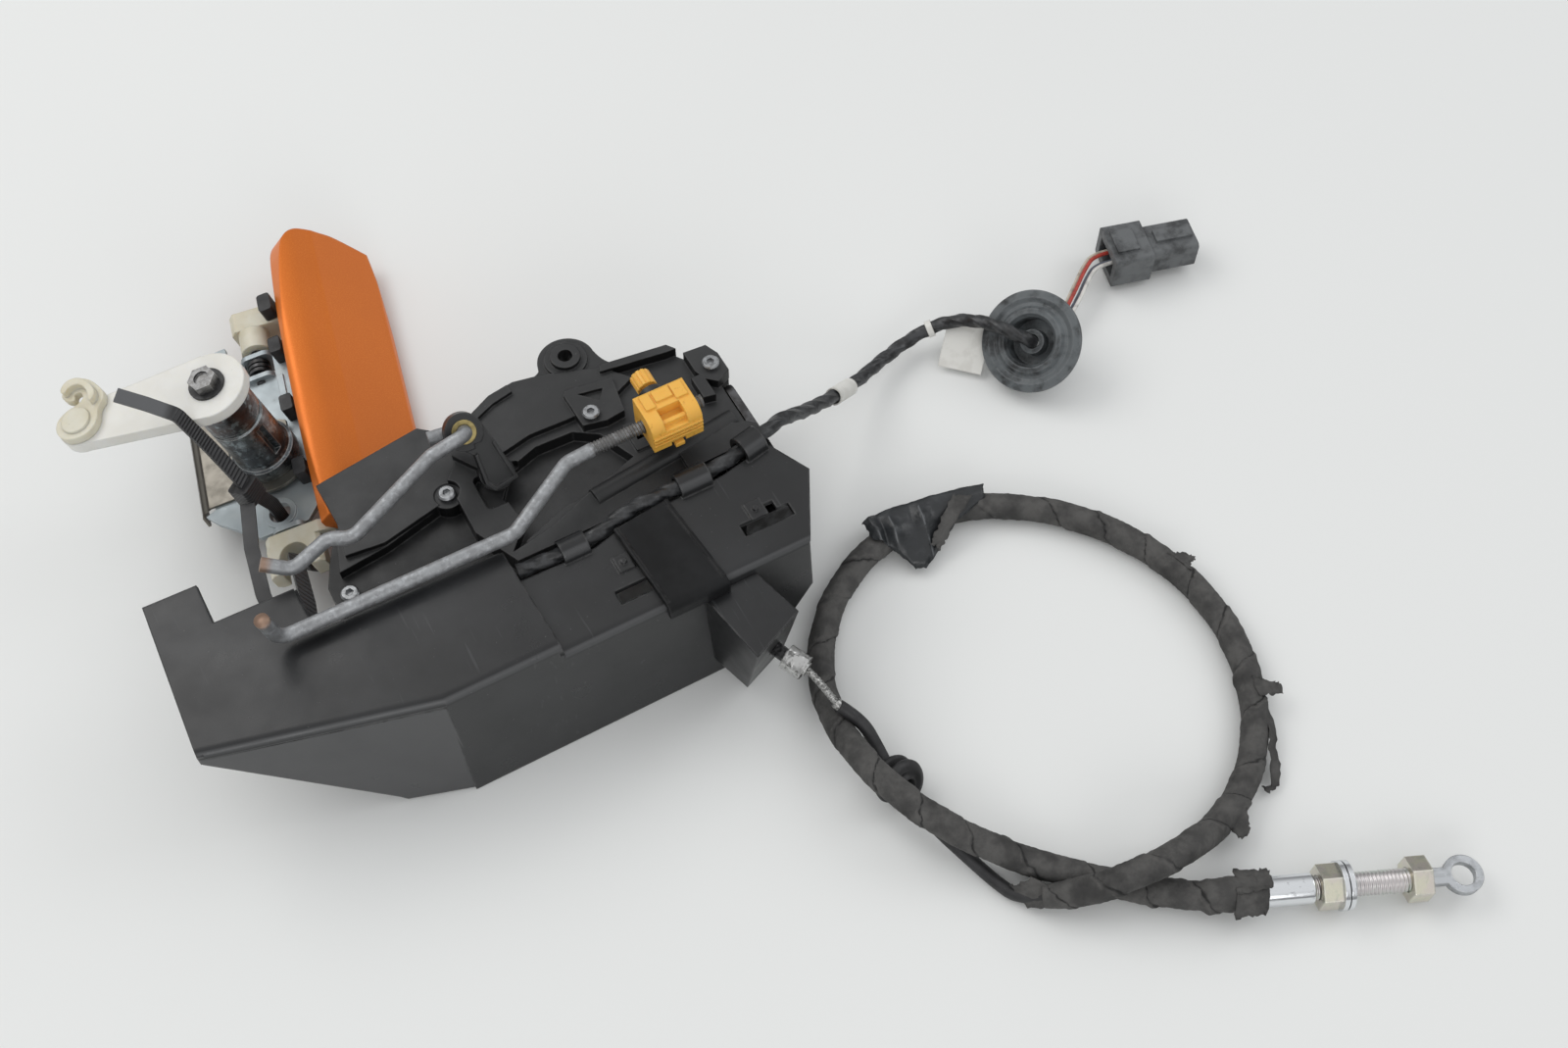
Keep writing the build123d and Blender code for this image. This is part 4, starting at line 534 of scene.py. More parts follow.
def patch(rows, fine, verts, faces, crumple, ragged, fold_highlights=None, creased=()):
    # A crumpled sheet through rows of points in millimetres, torn by ragged along its rim. Where a list for painted
    # fold highlights is given, it gets a 1 along the creased rows, past their first stretch
    def between(values, t):
        k = min(int(t), len(values) - 2)
        f = t - k
        return values[k] * (1 - f) + values[k + 1] * f
    grid = [[Vector(p) / 1000 for p in row] for row in rows]
    first = len(verts)
    tall, wide = (len(grid) - 1) * fine, (len(grid[0]) - 1) * fine
    for i in range(tall + 1):
        for j in range(wide + 1):
            spot = between([between(row, j / fine) for row in grid], i / fine)
            spot = spot + noise.noise_vector(spot * 130) * crumple + noise.noise_vector(spot * 420) * crumple * 0.4
            if i in (0, tall) or j in (0, wide):
                spot = spot + noise.noise_vector(spot * 1100) * ragged
            verts.append(Vector((spot.x, spot.y, max(spot.z, LOWEST + 0.0005))))
            if fold_highlights is not None:
                fold_highlights.append(1.0 if i in creased and j > wide * 0.4 else 0.0)
    for i in range(tall):
        for j in range(wide):
            low = first + i * (wide + 1) + j
            faces.append((low, low + 1, low + wide + 2, low + wide + 1))


# Vector noise would start from the clock, and the tape would crumple differently in each run
noise.seed_set(1)
smooth_tape = Finish("smooth loose tape", (0.016, 0.018, 0.020), roughness=0.36)
smooth_tape.tint((0.055, 0.06, 0.065), smooth_tape.grain(0.009, 4, 0.6).above(0.55, 0.12) * 0.45)
fold_highlight_mask = smooth_tape.node("ShaderNodeAttribute", {"attribute_name": "fold_highlight"}, out="Fac")
# Painted highlight along the flag's creased rows
smooth_tape.tint((0.19, 0.20, 0.21),
                 fold_highlight_mask.above(0.72, 0.26) * smooth_tape.grain(0.006, 3).above(0.49, 0.06) * 0.5)
smooth_tape.vary("Roughness", smooth_tape.grain(0.004, 3), 0.26, 0.5)
smooth_tape.dent(smooth_tape.grain(0.006, 3, 0.55), 0.0012, 0.4)
FLAG_FINE = 5
CREASED = (4 * FLAG_FINE, 7 * FLAG_FINE, 9 * FLAG_FINE)
verts, faces, fold_highlights = [], [], []
patch([[(71.0, -34.4, -16.5), (70.6, -36.4, -13.0), (69.4, -38.4, -12.8), (68.4, -41.2, -13.8)],
       [(64.4, -31.6, -17.5), (64.1, -34.6, -12.6), (61.6, -38.6, -12.0), (60.2, -42.8, -14.4)],
       [(56.6, -30.4, -17.5), (56.5, -33.1, -12.4), (54.4, -38.6, -12.4), (54.8, -43.6, -16.2)],
       [(50.2, -29.4, -17.5), (50.0, -31.8, -12.2), (47.6, -38.6, -12.8), (48.4, -46.8, -18.0)],
       [(45.6, -28.8, -17.5), (45.2, -31.2, -12.0), (43.2, -38.6, -10.2), (40.6, -51.0, -19.4)],
       [(41.8, -28.3, -17.5), (41.8, -30.6, -12.4), (39.4, -38.6, -13.0), (36.3, -53.0, -20.4)],
       [(36.8, -27.8, -17.5), (37.2, -29.8, -12.2), (35.2, -38.6, -12.2), (33.0, -51.2, -20.4)],
       [(32.6, -27.6, -17.5), (33.0, -29.4, -11.8), (31.6, -38.2, -10.2), (30.8, -46.0, -18.0)],
       [(28.6, -27.8, -17.5), (29.0, -29.2, -12.4), (28.6, -36.0, -12.6), (27.6, -40.8, -15.8)],
       [(26.0, -28.2, -16.0), (26.2, -29.2, -11.0), (26.0, -34.6, -10.0), (25.8, -39.2, -12.6)],
       [(24.2, -28.6, -15.6), (23.8, -29.4, -12.4), (23.4, -33.6, -12.2), (23.2, -36.8, -13.4)]],
      FLAG_FINE, verts, faces, crumple=0.0004, ragged=0.0005, fold_highlights=fold_highlights, creased=CREASED)
flag = mesh_piece("tape_flag", verts, faces, smooth_tape.done())
marks = flag.data.attributes.new("fold_highlight", "FLOAT", "POINT")
marks.data.foreach_set("value", fold_highlights)
flag.modifiers.new("thickness", "SOLIDIFY").thickness = 0.0003
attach(flag, "frame")
SCRAPS = [[[(112.6, -92.0, -13.8), (115.6, -102.0, -13.8)], [(117.4, -95.0, -13.6), (117.4, -99.4, -14.0)],
           [(121.0, -98.0, -15.2), (121.4, -98.8, -15.4)]],
          [[(108.6, -146.8, -13.6), (107.0, -154.4, -13.4)], [(113.2, -150.4, -13.8), (111.2, -155.0, -14.2)],
           [(117.6, -153.0, -15.6), (116.0, -156.4, -16.0)]],
          [[(108.4, -155.6, -15.4), (104.6, -157.0, -13.2)], [(106.2, -164.0, -17.4), (102.6, -164.4, -14.6)],
           [(102.2, -172.8, -19.6), (98.4, -172.0, -17.0)], [(97.0, -181.8, -21.4), (92.0, -181.2, -20.0)],
           [(91.4, -182.4, -21.6), (90.4, -179.6, -20.4)]],
          [[(79.0, -179.8, -13.2), (70.4, -185.6, -13.2)], [(78.6, -185.6, -15.0), (70.4, -189.8, -15.0)],
           [(76.6, -190.4, -17.6), (72.6, -192.4, -18.0)]],
          [[(3.6, -171.2, -13.4), (10.2, -181.4, -15.4)], [(0.2, -169.6, -15.6), (4.6, -181.0, -18.4)],
           [(-2.4, -168.2, -18.6), (-0.6, -176.4, -21.2)]],
          [[(61.0, -199.4, -13.4), (56.6, -207.6, -9.2)], [(66.4, -203.0, -12.4), (62.6, -209.8, -9.0)],
           [(71.0, -205.4, -11.8), (68.0, -211.2, -9.6)]],
          [[(56.6, -205.8, -9.4), (52.2, -213.4, -13.0)], [(62.0, -208.2, -9.0), (57.4, -215.4, -13.2)],
           [(67.6, -210.6, -9.6), (62.4, -217.0, -14.2)]],
          [[(57.5, -35.8, -11.0), (63.2, -39.8, -11.0)], [(51.5, -40.4, -11.0), (55.4, -43.8, -13.4)],
           [(44.4, -45.4, -13.6), (47.8, -47.8, -16.6)], [(41.0, -47.8, -15.6), (44.0, -50.0, -18.2)]]]
verts, faces = [], []
for rows in SCRAPS:
    patch(rows, 6, verts, faces, crumple=0.0007, ragged=0.0011)
scraps = mesh_piece("tape_scraps", verts, faces, cloth_black)
scraps.modifiers.new("thickness", "SOLIDIFY").thickness = 0.0004
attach(scraps, "frame")

# Cable end's tube and washers: turned steel with bright plating, smooth, with a few specks. The tape's
# collar is wound over the tube, and both washers sit against the first nut.
chrome = Finish("bright plating", (0.74, 0.76, 0.78), roughness=0.12, metallic=1.0)
chrome.tint((0.40, 0.41, 0.42), chrome.grain(0.0016, 3).above(0.66, 0.03) * 0.5)
chrome.vary("Roughness", chrome.grain(0.012, 3), 0.08, 0.20)
dress(chrome.done(0.0003), "end_tube", "washers")

# Cable eyelet: a steel rod end pressed flat and punched, plated dull grey, with its edges rubbed pale. It
# slides in the threaded sleeve.
eyelet = Finish("pressed eyelet", (0.42, 0.435, 0.45), roughness=0.3, metallic=1.0)
eyelet.tint((0.20, 0.205, 0.21), eyelet.grain(0.004, 4).above(0.54, 0.1) * 0.6)
eyelet.tint((0.62, 0.64, 0.66), eyelet.edges(0.0006) * 0.6)
eyelet.vary("Roughness", eyelet.grain(0.003, 3), 0.22, 0.42)
dress(eyelet.done(0.0006), "cable_eyelet")

# Threaded sleeve: steel tube with an M8 thread rolled on it, plated in faint green and pink. It is pressed
# into the tube and holds both nuts.


def groove(s, a, pitch):
    # From 0 on a thread's crest to 1 at its root
    return abs(((s / pitch - a / (2 * math.pi)) % 1.0) * 2 - 1)


SLEEVE_PITCH = 0.00125
SLEEVE_START, SLEEVE_LENGTH, SLEEVE_STEPS = 0.019, 0.038, 190
thread_look = Finish("plated thread", (0.62, 0.68, 0.62), roughness=0.38, metallic=1.0)
thread_look.tint((0.70, 0.58, 0.64), thread_look.grain(0.008, 3).above(0.5, 0.12) * 0.5)
ahead = Vector((0.914265, -0.405117, 0))
sleeve_line = [Vector((0.0636, -0.2089, -0.0159)) + ahead * (SLEEVE_START + SLEEVE_LENGTH * k / SLEEVE_STEPS)
               for k in range(SLEEVE_STEPS + 1)]
verts, faces = [], []
sweep(sleeve_line, 32, lambda s, a, spot: 0.00398 - 0.00062 * groove(s, a, SLEEVE_PITCH), verts, faces)
thread = mesh_piece("thread", verts, faces, thread_look.done())
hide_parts("threaded_sleeve")
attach(thread, "frame")

# Lock nuts: two cold-formed hexagons on the sleeve, zinc plated and passivated, which leaves them pale
# yellow with pink and green patches and bright corners.
nut_look = Finish("yellow passivated zinc", (0.72, 0.70, 0.57), roughness=0.24, metallic=1.0)
nut_look.tint((0.68, 0.58, 0.62), nut_look.grain(0.005, 3).above(0.5, 0.12) * 0.4)
nut_look.tint((0.50, 0.54, 0.46), nut_look.grain(0.003, 3, shift=(1, 0, 0)).above(0.58, 0.08) * 0.45)
nut_look.tint((0.88, 0.87, 0.78), nut_look.edges(0.0009) * 0.7)
dress(nut_look.done(0.0006), "lock_nuts")

# Rubber pads and door grommet: black moulded rubber. The pads are pushed on the handle's edge and its arm,
# and the grommet is slid on the harness, its dish pale with dust and rubbed on the rings.
dress(rubber_black, "handle_pads", "arm_buffer")
dusty = Finish("dusty rubber", (0.016, 0.017, 0.018), roughness=0.55)
dusty.tint((0.13, 0.145, 0.152), dusty.grain(0.007, 5, 0.62).above(0.44, 0.14) * 0.8)
dusty.tint((0.20, 0.21, 0.22), dusty.edges(0.001) * dusty.grain(0.004, 3).above(0.45, 0.12) * 0.5)
dusty.tint((0.16, 0.17, 0.17), dusty.grain(0.0011, 2, 0.7).above(0.70, 0.03) * 0.5)
dusty.vary("Roughness", dusty.grain(0.006, 3), 0.44, 0.7)
dusty.dent(dusty.grain(0.002, 3), 0.0002, 0.4)
dress(dusty.done(0.0006), "door_grommet")

# Latch case, its cover and both levers: moulded in black nylon with glass in it, satin and finely grained,
# with dust on the upper faces, the highest of them painted lighter still as dust and sheen, and pale scuffs. Four
# screws hold the cover on the case.
moulded = Finish("case moulding", (0.0045, 0.0047, 0.005), roughness=0.42, specular=0.46)
DUST_AND_SHEEN_LEVEL = 0.0175
# Dust and painted sheen: upward faces above a set height are painted lighter, which leaves the lower faces darker
moulded.tint((0.030, 0.031, 0.032),
             moulded.along((0, 0, 1)).above(DUST_AND_SHEEN_LEVEL, 0.003) * moulded.facing((0, 0, 1)).above(0.5, 0.4) * 0.5)
moulded.tint((0.040, 0.041, 0.042),
             moulded.grain(0.03, 5, 0.62).above(0.53, 0.12) * moulded.facing((0, 0, 1)).above(0.7, 0.2) * 0.45)
moulded.tint((0.12, 0.12, 0.12), moulded.grain(0.0011, 2, 0.7).above(0.74, 0.02) * 0.5)
moulded.tint((0.08, 0.08, 0.08), moulded.edges(0.0009) * moulded.grain(0.004, 3).above(0.5, 0.1) * 0.45)
moulded.vary("Roughness", moulded.grain(0.012, 4), 0.34, 0.56)
moulded.dent(moulded.grain(0.00045, 2), 0.00006, 0.5)
moulded.dent(moulded.grain(0.02, 2), 0.0004, 0.25)
dress(moulded.done(0.0006), "case_base", "case_cover", "release_lever", "lock_lever")

# Shield and cable box: thin mouldings of plain black polypropylene, smoother than the case, with rubbed corners
# and fine scratches from handling. Their front walls, slanted facet and rolled front fillets are painted lighter as
# light from the table, and their edges partly as a rim highlight. The shield is clipped over the mechanism, and
# the box stands on its front wall.
shield = Finish("shield moulding", (0.0075, 0.0078, 0.0084), roughness=0.36, specular=0.5)
shield.tint((0.030, 0.032, 0.035), shield.grain(0.05, 5, 0.6).above(0.53, 0.15) * 0.35)
# Painted reflection: walls that face the front are painted lighter, as the table's light reflected in them
shield.tint((0.030, 0.031, 0.032), shield.facing((0, -1, 0)).above(0.82, 0.1) * 0.55)
# Painted light: the slanted facet wall is painted lighter still, as light thrown up from the table
shield.tint((0.070, 0.071, 0.073), shield.facing((-0.28, -0.96, 0)).above(0.978, 0.010) * 0.75)
# Painted highlight: the rolled fillets along the front edges, sloping up and forward, are painted light
shield.tint((0.085, 0.087, 0.09), shield.facing((0, -0.75, 0.66)).above(0.94, 0.05) * 0.6)
shield.tint((0.14, 0.14, 0.14), shield.grain(0.0012, 2, 0.7).above(0.75, 0.02) * 0.5)
# Edges painted paler, partly rubbed corners and partly a painted rim highlight
shield.tint((0.10, 0.10, 0.10), shield.edges(0.001) * shield.grain(0.005, 3).above(0.48, 0.12) * 0.5)
for turn, shift in ((0.4, 0), (1.3, 3), (2.4, 5)):
    scratch = shield.grain(0.0016, 1, 0.4, scale=(1, 0.05, 0.3), turn=(0, 0, turn),
                           shift=(shift, 0, 0)).above(0.71, 0.02)
    shield.tint((0.06, 0.062, 0.065), scratch * shield.grain(0.03, 2, shift=(shift, 2, 0)).above(0.60, 0.05) * 0.3)
shield.vary("Roughness", shield.grain(0.02, 4), 0.25, 0.44)
shield.dent(shield.grain(0.0005, 2), 0.00005, 0.4)
shield.dent(shield.grain(0.04, 2), 0.0007, 0.3)
dress(shield.done(0.0010), "shield", "cable_box")

# Shield's lid: a deeper black moulding folded over the shield's middle and snapped into its slots. It is
# duller than the shield and nearly clean.
lid = Finish("lid moulding", (0.004, 0.0042, 0.0045), roughness=0.42, specular=0.2)
lid.tint((0.022, 0.023, 0.025), lid.grain(0.03, 5, 0.6).above(0.55, 0.15) * 0.4)
lid.tint((0.08, 0.08, 0.08), lid.edges(0.0008) * lid.grain(0.005, 3).above(0.48, 0.12) * 0.4)
lid.vary("Roughness", lid.grain(0.02, 4), 0.32, 0.5)
lid.dent(lid.grain(0.03, 2), 0.0005, 0.3)
dress(lid.done(0.0010), "shield_lid")

# Connector: a dark grey moulded housing with latch bars and an open socket, faded and rubbed pale on its
# edges. The four wires are crimped into it.
plug = Finish("connector moulding", (0.042, 0.044, 0.046), roughness=0.48)
plug.tint((0.17, 0.18, 0.185), plug.grain(0.008, 5, 0.62).above(0.45, 0.13) * 0.6)
plug.tint((0.13, 0.135, 0.14), plug.edges(0.0008) * plug.grain(0.004, 3).above(0.45, 0.12) * 0.5)
plug.vary("Roughness", plug.grain(0.005, 3), 0.38, 0.62)
plug.dent(plug.grain(0.0006, 2), 0.00008, 0.5)
dress(plug.done(0.0006), "connector")

# Handle bracket: pressed steel sheet, zinc plated, bluish and smooth, with water marks and a few dark spots.
# The key barrel is fixed through it, and the blade's arms turn on pins in its ears.
zinc = Finish("zinc sheet", (0.40, 0.445, 0.465), roughness=0.5, metallic=0.75)
zinc.tint((0.33, 0.375, 0.40), zinc.grain(0.014, 4).above(0.52, 0.1) * 0.5)
zinc.tint((0.44, 0.44, 0.41), zinc.grain(0.02, 3, shift=(1, 0, 0)).above(0.6, 0.06) * 0.3)
zinc.tint((0.22, 0.21, 0.20), zinc.grain(0.0035, 4).above(0.70, 0.05) * 0.35)
zinc.tint((0.62, 0.65, 0.67), zinc.edges(0.0006) * 0.4)
zinc.vary("Roughness", zinc.grain(0.006, 4), 0.42, 0.6)
zinc.dent(zinc.grain(0.001, 3), 0.00004, 0.3)
dress(zinc.done(0.0004), "handle_bracket")

# Cover screws: four grey steel screws with domed heads, driven down through the cover's pockets. Their
# six-lobe recesses hold dirt, and the heads' edges are bright.
screw = Finish("grey screw", (0.36, 0.37, 0.38), roughness=0.4, metallic=1.0)
screw.tint((0.07, 0.07, 0.07), screw.grain(0.0018, 3).above(0.52, 0.1) * 0.5)
screw.tint((0.45, 0.46, 0.47), screw.edges(0.0004) * 0.6)
dress(screw.done(0.0003), "cover_screws")

# Steel of the latch and the hinge: hardened claw and pawl, pins, springs, the motor's can, the face plate and
# the frame behind it, all dark with oil. The pins are riveted, and the plate is bolted to the door's edge.
steel = Finish("oiled steel", (0.13, 0.13, 0.135), roughness=0.4, metallic=1.0)
steel.tint((0.035, 0.033, 0.03), steel.grain(0.004, 4).above(0.5, 0.12) * 0.7)
steel.dent(steel.grain(0.0008, 3), 0.00004, 0.4)
dress(steel.done(0.0003), "claw", "claw_pin", "claw_spring", "pawl", "pawl_pin", "pawl_spring", "release_pin",
      "lock_pin", "lock_motor", "wheel_pin", "hinge_pins", "handle_spring", "latch_frame", "face_plate")

# Rods to the lock and the release lever: galvanised wire, bent cold, grey and spangled with paler rubbed
# spots, and coppery where the ends were sheared. The release rod's straight end has a dark rolled thread,
# screwed into the amber clip.
rod = Finish("galvanised rod", (0.33, 0.34, 0.35), roughness=0.5, metallic=0.65)
rod.tint((0.19, 0.19, 0.195), rod.grain(0.0032, 5, 0.65).above(0.52, 0.12) * 0.5)
rod.tint((0.50, 0.52, 0.54), rod.grain(0.0018, 4, 0.6, shift=(3, 0, 0)).above(0.58, 0.08) * 0.45)
rod.tint((0.33, 0.20, 0.13), rod.near((-0.1775, -0.0038, 0.0516)).below(0.0031, 0.0009) * 0.85)
rod.tint((0.33, 0.20, 0.13), rod.near((-0.1711, 0.0223, 0.0408)).below(0.0036, 0.0012) * 0.8)
threaded = rod.along((1, 0, 0), (-0.0585, 0, 0)).above(0.0, 0.0008)
rod.tint((0.11, 0.105, 0.10), threaded * rod.grain(0.002, 3).above(0.38, 0.15) * 0.75)
rod.vary("Roughness", rod.grain(0.004, 4), 0.4, 0.62)
rod.dent(rod.grain(0.0012, 4), 0.00012, 0.5)
galvanised = rod.done()
dress(galvanised, "lock_rod")


def bent(corners, radii, coarse, fine, start, stop):
    # Points of a rod bent round tangent arcs, close together between start and stop, in millimetres
    points = [Vector(corners[0])]
    for k in range(1, len(corners) - 1):
        here, before, after = Vector(corners[k]), Vector(corners[k - 1]), Vector(corners[k + 1])
        come, leave = (here - before).normalized(), (after - here).normalized()
        turn = come.angle(leave)
        cut = radii[k - 1] * math.tan(turn / 2)
        middle = here + (leave - come).normalized() * (radii[k - 1] / math.cos(turn / 2))
        one, two = here - come * cut - middle, here + leave * cut - middle
        for i in range(9):
            f = i / 8
            points.append(middle + (one * math.sin((1 - f) * turn) + two * math.sin(f * turn)) / math.sin(turn))
    points.append(Vector(corners[-1]))
    made, s = [points[0]], 0.0
    for a, b in zip(points, points[1:]):
        length = (b - a).length
        step = fine if start <= s < stop else coarse
        count = max(1, round(length / step))
        made += [a + (b - a) * (i / count) for i in range(1, count + 1)]
        s += length
    return [p / 1000 for p in made]


RELEASE_ROD = [(-17.5, 12.4, 38.8), (-58.0, 12.4, 38.8), (-68.6, 12.1, 38.0), (-94.8, -3.7, 36.2),
               (-175.3, -3.3, 36.2), (-177.5, -3.8, 51)]
ROD_RADIUS, ROD_PITCH, ROD_THREAD = 0.00245, 0.0011, 0.0412


def rolled(s, a, spot):
    # The release rod's skin: a thread on its first stretch, then slightly uneven wire
    if s > ROD_THREAD:
        return ROD_RADIUS + 0.00003 * noise.noise(spot * 500)
    return ROD_RADIUS - 0.00058 * groove(s, a, ROD_PITCH)


verts, faces = [], []
sweep(bent(RELEASE_ROD, (20, 7, 8, 5), 1.5, 0.2, 0, 40), 28, rolled, verts, faces)
release = mesh_piece("rod", verts, faces, galvanised)
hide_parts("release_rod")
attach(release, "release_rod")

# Rod clip and its button: moulded in amber nylon, slightly clear at thin edges, and patched with painted shade.
# The clip snaps on the release rod's thread, and the button locks it to the release lever.
amber = Finish("amber nylon", (0.82, 0.42, 0.055), roughness=0.44)
amber.tint((0.86, 0.52, 0.12), amber.grain(0.006, 3) * 0.5)
# Painted shade: scattered dark patches
amber.tint((0.42, 0.16, 0.01), amber.grain(0.002, 3).above(0.68, 0.05) * 0.4)
amber.glow_through(0.12, (0.004, 0.002, 0.0006))
amber.dent(amber.grain(0.0012, 3), 0.00008, 0.4)
dress(amber.done(0.0006), "rod_clip", "clip_button")

# Key lever and worm wheel: moulded in natural white nylon, yellowed a little, with specks of grime. The lever
# is bolted on the key barrel's end, and the wheel turns on its pin under the cover.
nylon = Finish("white nylon", (0.74, 0.735, 0.70), roughness=0.4)
nylon.tint((0.64, 0.62, 0.55), nylon.grain(0.014, 4).above(0.5, 0.15) * 0.4)
nylon.tint((0.28, 0.26, 0.23), nylon.grain(0.0016, 3, 0.7).above(0.73, 0.03) * 0.5)
nylon.glow_through(0.2, (0.003, 0.0028, 0.002))
nylon.vary("Roughness", nylon.grain(0.008, 3), 0.30, 0.5)
nylon.dent(nylon.grain(0.0015, 2), 0.00005, 0.4)
dress(nylon.done(0.0007), "key_lever", "worm_wheel")

# Handle arms and the lever's clip: moulded in cream nylon and aged. The arms are fixed behind the blade. The
# clip is a plate pressed into the lever's eye, with a hook that curls over its far side and opens to the
# left.
cream = Finish("cream nylon", (0.66, 0.63, 0.52), roughness=0.42)
cream.tint((0.52, 0.46, 0.31), cream.grain(0.008, 4).above(0.5, 0.15) * 0.45)
cream.tint((0.25, 0.21, 0.14), cream.grain(0.0018, 3, 0.7).above(0.71, 0.04) * 0.5)
cream.glow_through(0.25, (0.004, 0.0032, 0.002))
cream.dent(cream.grain(0.002, 3), 0.00008, 0.4)
cream_nylon = cream.done(0.0008)
dress(cream_nylon, "upper_arm", "lower_arm")
lever_x = Vector((0.96025, -0.19537, 0.19937))
lever_y = Vector((0.19937, 0.97992, 0))
lever_z = Vector((-0.19537, 0.03975, 0.97992))


def on_lever(x, y, z):
    # A point given in the bracket's own directions, in millimetres
    return (Vector((-152.6, 89.6, 0)) + lever_x * x + lever_y * y + lever_z * z) / 1000


def plate(outline, low, high, verts, faces):
    # A flat piece on the key lever, from one height above the bracket to another
    first = len(verts)
    count = len(outline)
    for z in (low, high):
        verts += [on_lever(x, y, z) for x, y in outline]
    faces.append(tuple(range(first + count - 1, first - 1, -1)))
    faces.append(tuple(range(first + count, first + 2 * count)))
    for k in range(count):
        n = (k + 1) % count
        faces.append((first + k, first + n, first + count + n, first + count + k))


def smooth_loop(corners, rounds=3):
    # Corner cutting, for a soft moulded outline
    points = [Vector(c) for c in corners]
    for _ in range(rounds):
        points = [p for a, b in zip(points, points[1:] + points[:1])
                  for p in (a * 0.75 + b * 0.25, a * 0.25 + b * 0.75)]
    return [(p.x, p.y) for p in points]


verts, faces = [], []
plate(smooth_loop([(-37.6, 0.2), (-37.2, 5.6), (-34.4, 8.2), (-34.6, 12.6), (-39.8, 20.0), (-46.2, 20.6),
                   (-49.6, 15.4), (-47.4, 12.4), (-44.4, 11.4), (-44.6, 14.6), (-42.2, 14.6), (-41.4, 11.6),
                   (-43.6, 9.6), (-48.4, 8.6), (-52.2, 5.2), (-52.4, 0.2), (-49.0, -3.8), (-42.0, -4.2)]),
      50.05, 53.2, verts, faces)
plate(smooth_loop([(-39.0, 6.4), (-36.2, 8.6), (-36.4, 12.4), (-40.4, 18.6), (-45.8, 19.0), (-48.4, 15.4),
                   (-46.9, 13.6), (-44.9, 15.9), (-41.2, 15.9), (-38.6, 11.6)]), 53.0, 56.0, verts, faces)
HUB_X, HUB_Y, HUB_RADIUS, HUB_POINTS = -45, 3.0, 5.0, 32
hub = [(HUB_X + HUB_RADIUS * math.cos(2 * math.pi * k / HUB_POINTS),
        HUB_Y + HUB_RADIUS * math.sin(2 * math.pi * k / HUB_POINTS)) for k in range(HUB_POINTS)]
plate(hub, 53.0, 54.2, verts, faces)
clip = mesh_piece("hook_clip", verts, faces, cream_nylon, smooth=False)
soft_edge = clip.modifiers.new("edges", "BEVEL")
soft_edge.width = 0.0005
soft_edge.segments = 2
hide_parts("lever_clip")
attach(clip, "key")

# Lever's bolt and collar: a plain grey steel bolt, its head stained, screwed into the key barrel through a
# dark spring collar that stays open on one side.
bolt = Finish("grey bolt", (0.26, 0.26, 0.26), roughness=0.42, metallic=1.0)
bolt.tint((0.12, 0.115, 0.11), bolt.grain(0.0016, 4).above(0.5, 0.1) * 0.6)
bolt.tint((0.5, 0.5, 0.5), bolt.edges(0.0004) * 0.5)
bolt.dent(bolt.grain(0.0012, 3), 0.0001, 0.5)
dress(bolt.done(0.0003), "lever_bolt")
collar = Finish("dark collar", (0.055, 0.055, 0.055), roughness=0.45, metallic=0.6)
collar.tint((0.02, 0.02, 0.02), collar.grain(0.002, 3).above(0.5, 0.1) * 0.6)
dress(collar.done(0.0003), "bolt_collar")

# Lock lever's bush and the motor's worm: turned from brass that has gone dull and olive. The bush is pressed
# into the lever's eye, where the lock rod turns in it.
brass = Finish("dull brass", (0.42, 0.34, 0.15), roughness=0.42, metallic=0.9)
brass.tint((0.20, 0.16, 0.07), brass.grain(0.002, 4).above(0.5, 0.1) * 0.5)
dress(brass.done(0.0003), "brass_bush", "motor_worm")

# Handle blade: a moulded grip with crowned front and rolled edge, in satin orange paint with a fine metal
# flake under a thin clear coat. It swings on the two arms.
paint = Finish("orange paint", (0.76, 0.19, 0.026), roughness=0.4, metallic=0.4, coat=0.05, coat_roughness=0.3,
               specular=0.3)
paint.tint((0.86, 0.26, 0.04), paint.grain(0.00045, 1, 0.5).above(0.56, 0.05) * 0.4)
paint.tint((0.66, 0.155, 0.022), paint.grain(0.05, 3).above(0.52, 0.15) * 0.25)
paint.vary("Roughness", paint.grain(0.02, 4), 0.34, 0.42)
paint.dent(paint.grain(0.0009, 2), 0.00002, 0.3)
dress(paint.done(0.0012), "outer_handle")

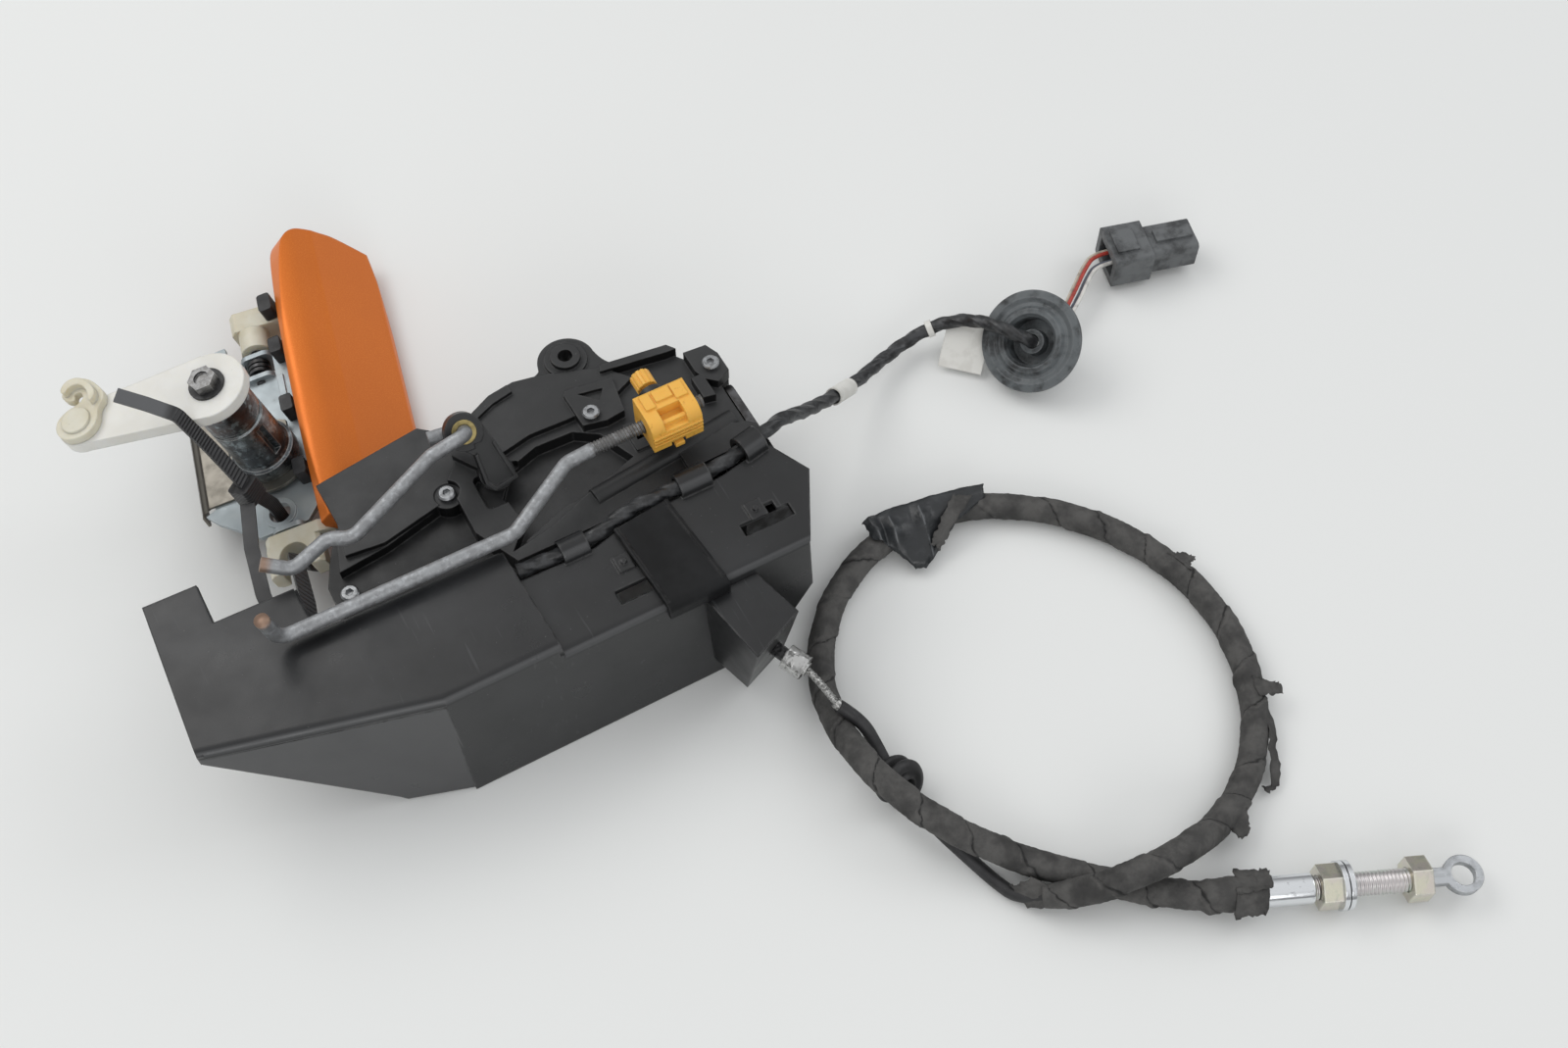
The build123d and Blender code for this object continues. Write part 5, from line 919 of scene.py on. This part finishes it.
# Key barrel and its plug: zinc castings gone dark and bluish, brown under the lever, with pale rubbed patches
# and rings. The barrel stands in the bracket's hole, and the plug turns in it.
barrel = Finish("tarnished casting", (0.17, 0.185, 0.195), roughness=0.36, metallic=0.95)
barrel.tint((0.045, 0.047, 0.052), barrel.grain(0.009, 4).above(0.47, 0.10) * 0.75)
barrel.tint((0.11, 0.055, 0.035), barrel.along(lever_z, on_lever(0, 0, 36)).above(0.0, 0.006)
            * barrel.grain(0.01, 3, shift=(4, 0, 0)).above(0.45, 0.1) * 0.7)
barrel.tint((0.34, 0.40, 0.42), barrel.grain(0.0032, 5, 0.65, shift=(2, 0, 0)).above(0.57, 0.06) * 0.6)
barrel.tint((0.60, 0.60, 0.58), barrel.edges(0.0007) * 0.5)
barrel.vary("Roughness", barrel.grain(0.003, 3), 0.22, 0.5)
barrel.dent(barrel.grain(0.0022, 4), 0.0003, 0.6)
dress(barrel.done(0.0004), "lock_barrel", "lock_plug")

# Barrel's guard and flat retainer: bent stainless sheet, faintly brown, with two dark bands painted across it as
# reflection where the guard curls over the bracket's edge. The retainer slides into the barrel's groove and holds
# both down.
stainless = Finish("stainless sheet", (0.22, 0.205, 0.178), roughness=0.34, metallic=1.0)
across = stainless.along(lever_x, on_lever(0, 0, 0))
# Painted reflection: two dark bands across the sheet where the guard curls over the bracket's edge
for middle, half in ((-0.0290, 0.0009), (-0.0262, 0.0005)):
    curl_reflection_band = across.above(middle - half, half * 0.8) * across.below(middle + half, half * 0.8)
    stainless.tint((0.05, 0.042, 0.035), curl_reflection_band * 0.85)
stainless.tint((0.14, 0.13, 0.11), stainless.grain(0.006, 4, 0.6).above(0.54, 0.12) * 0.5)
stainless.vary("Roughness", stainless.grain(0.006, 3), 0.26, 0.44)
dress(stainless.done(0.0003), "barrel_guard", "barrel_retainer")

# Cable tie and its head: a moulded black nylon strap with fine cross teeth, its smooth tail rubbed grey. It is
# drawn round the handle's bracket and the latch, and holds the two together.
TIE_TOOTH = 0.0010
tie = Finish("tie nylon", (0.013, 0.013, 0.014), roughness=0.4)
tail_end = tie.along((-0.62, 0.35, 0.55), (-0.1775, 0.083, 0.0545)).above(0.0, 0.002)
tooth = (tie.along((0, 0, 1)) * (2 * math.pi / TIE_TOOTH)).sine() * (1 - tail_end)
tie.tint((0.10, 0.103, 0.108), tail_end * 0.9)
tie.tint((0.040, 0.040, 0.042), tooth.above(0.4, 0.5) * 0.4)
tie.dent(tooth, 0.00015, 0.5)
tie.vary("Roughness", tie.grain(0.004, 3), 0.32, 0.5)
dress(tie.done(0.0003), "cable_tie", "tie_head")
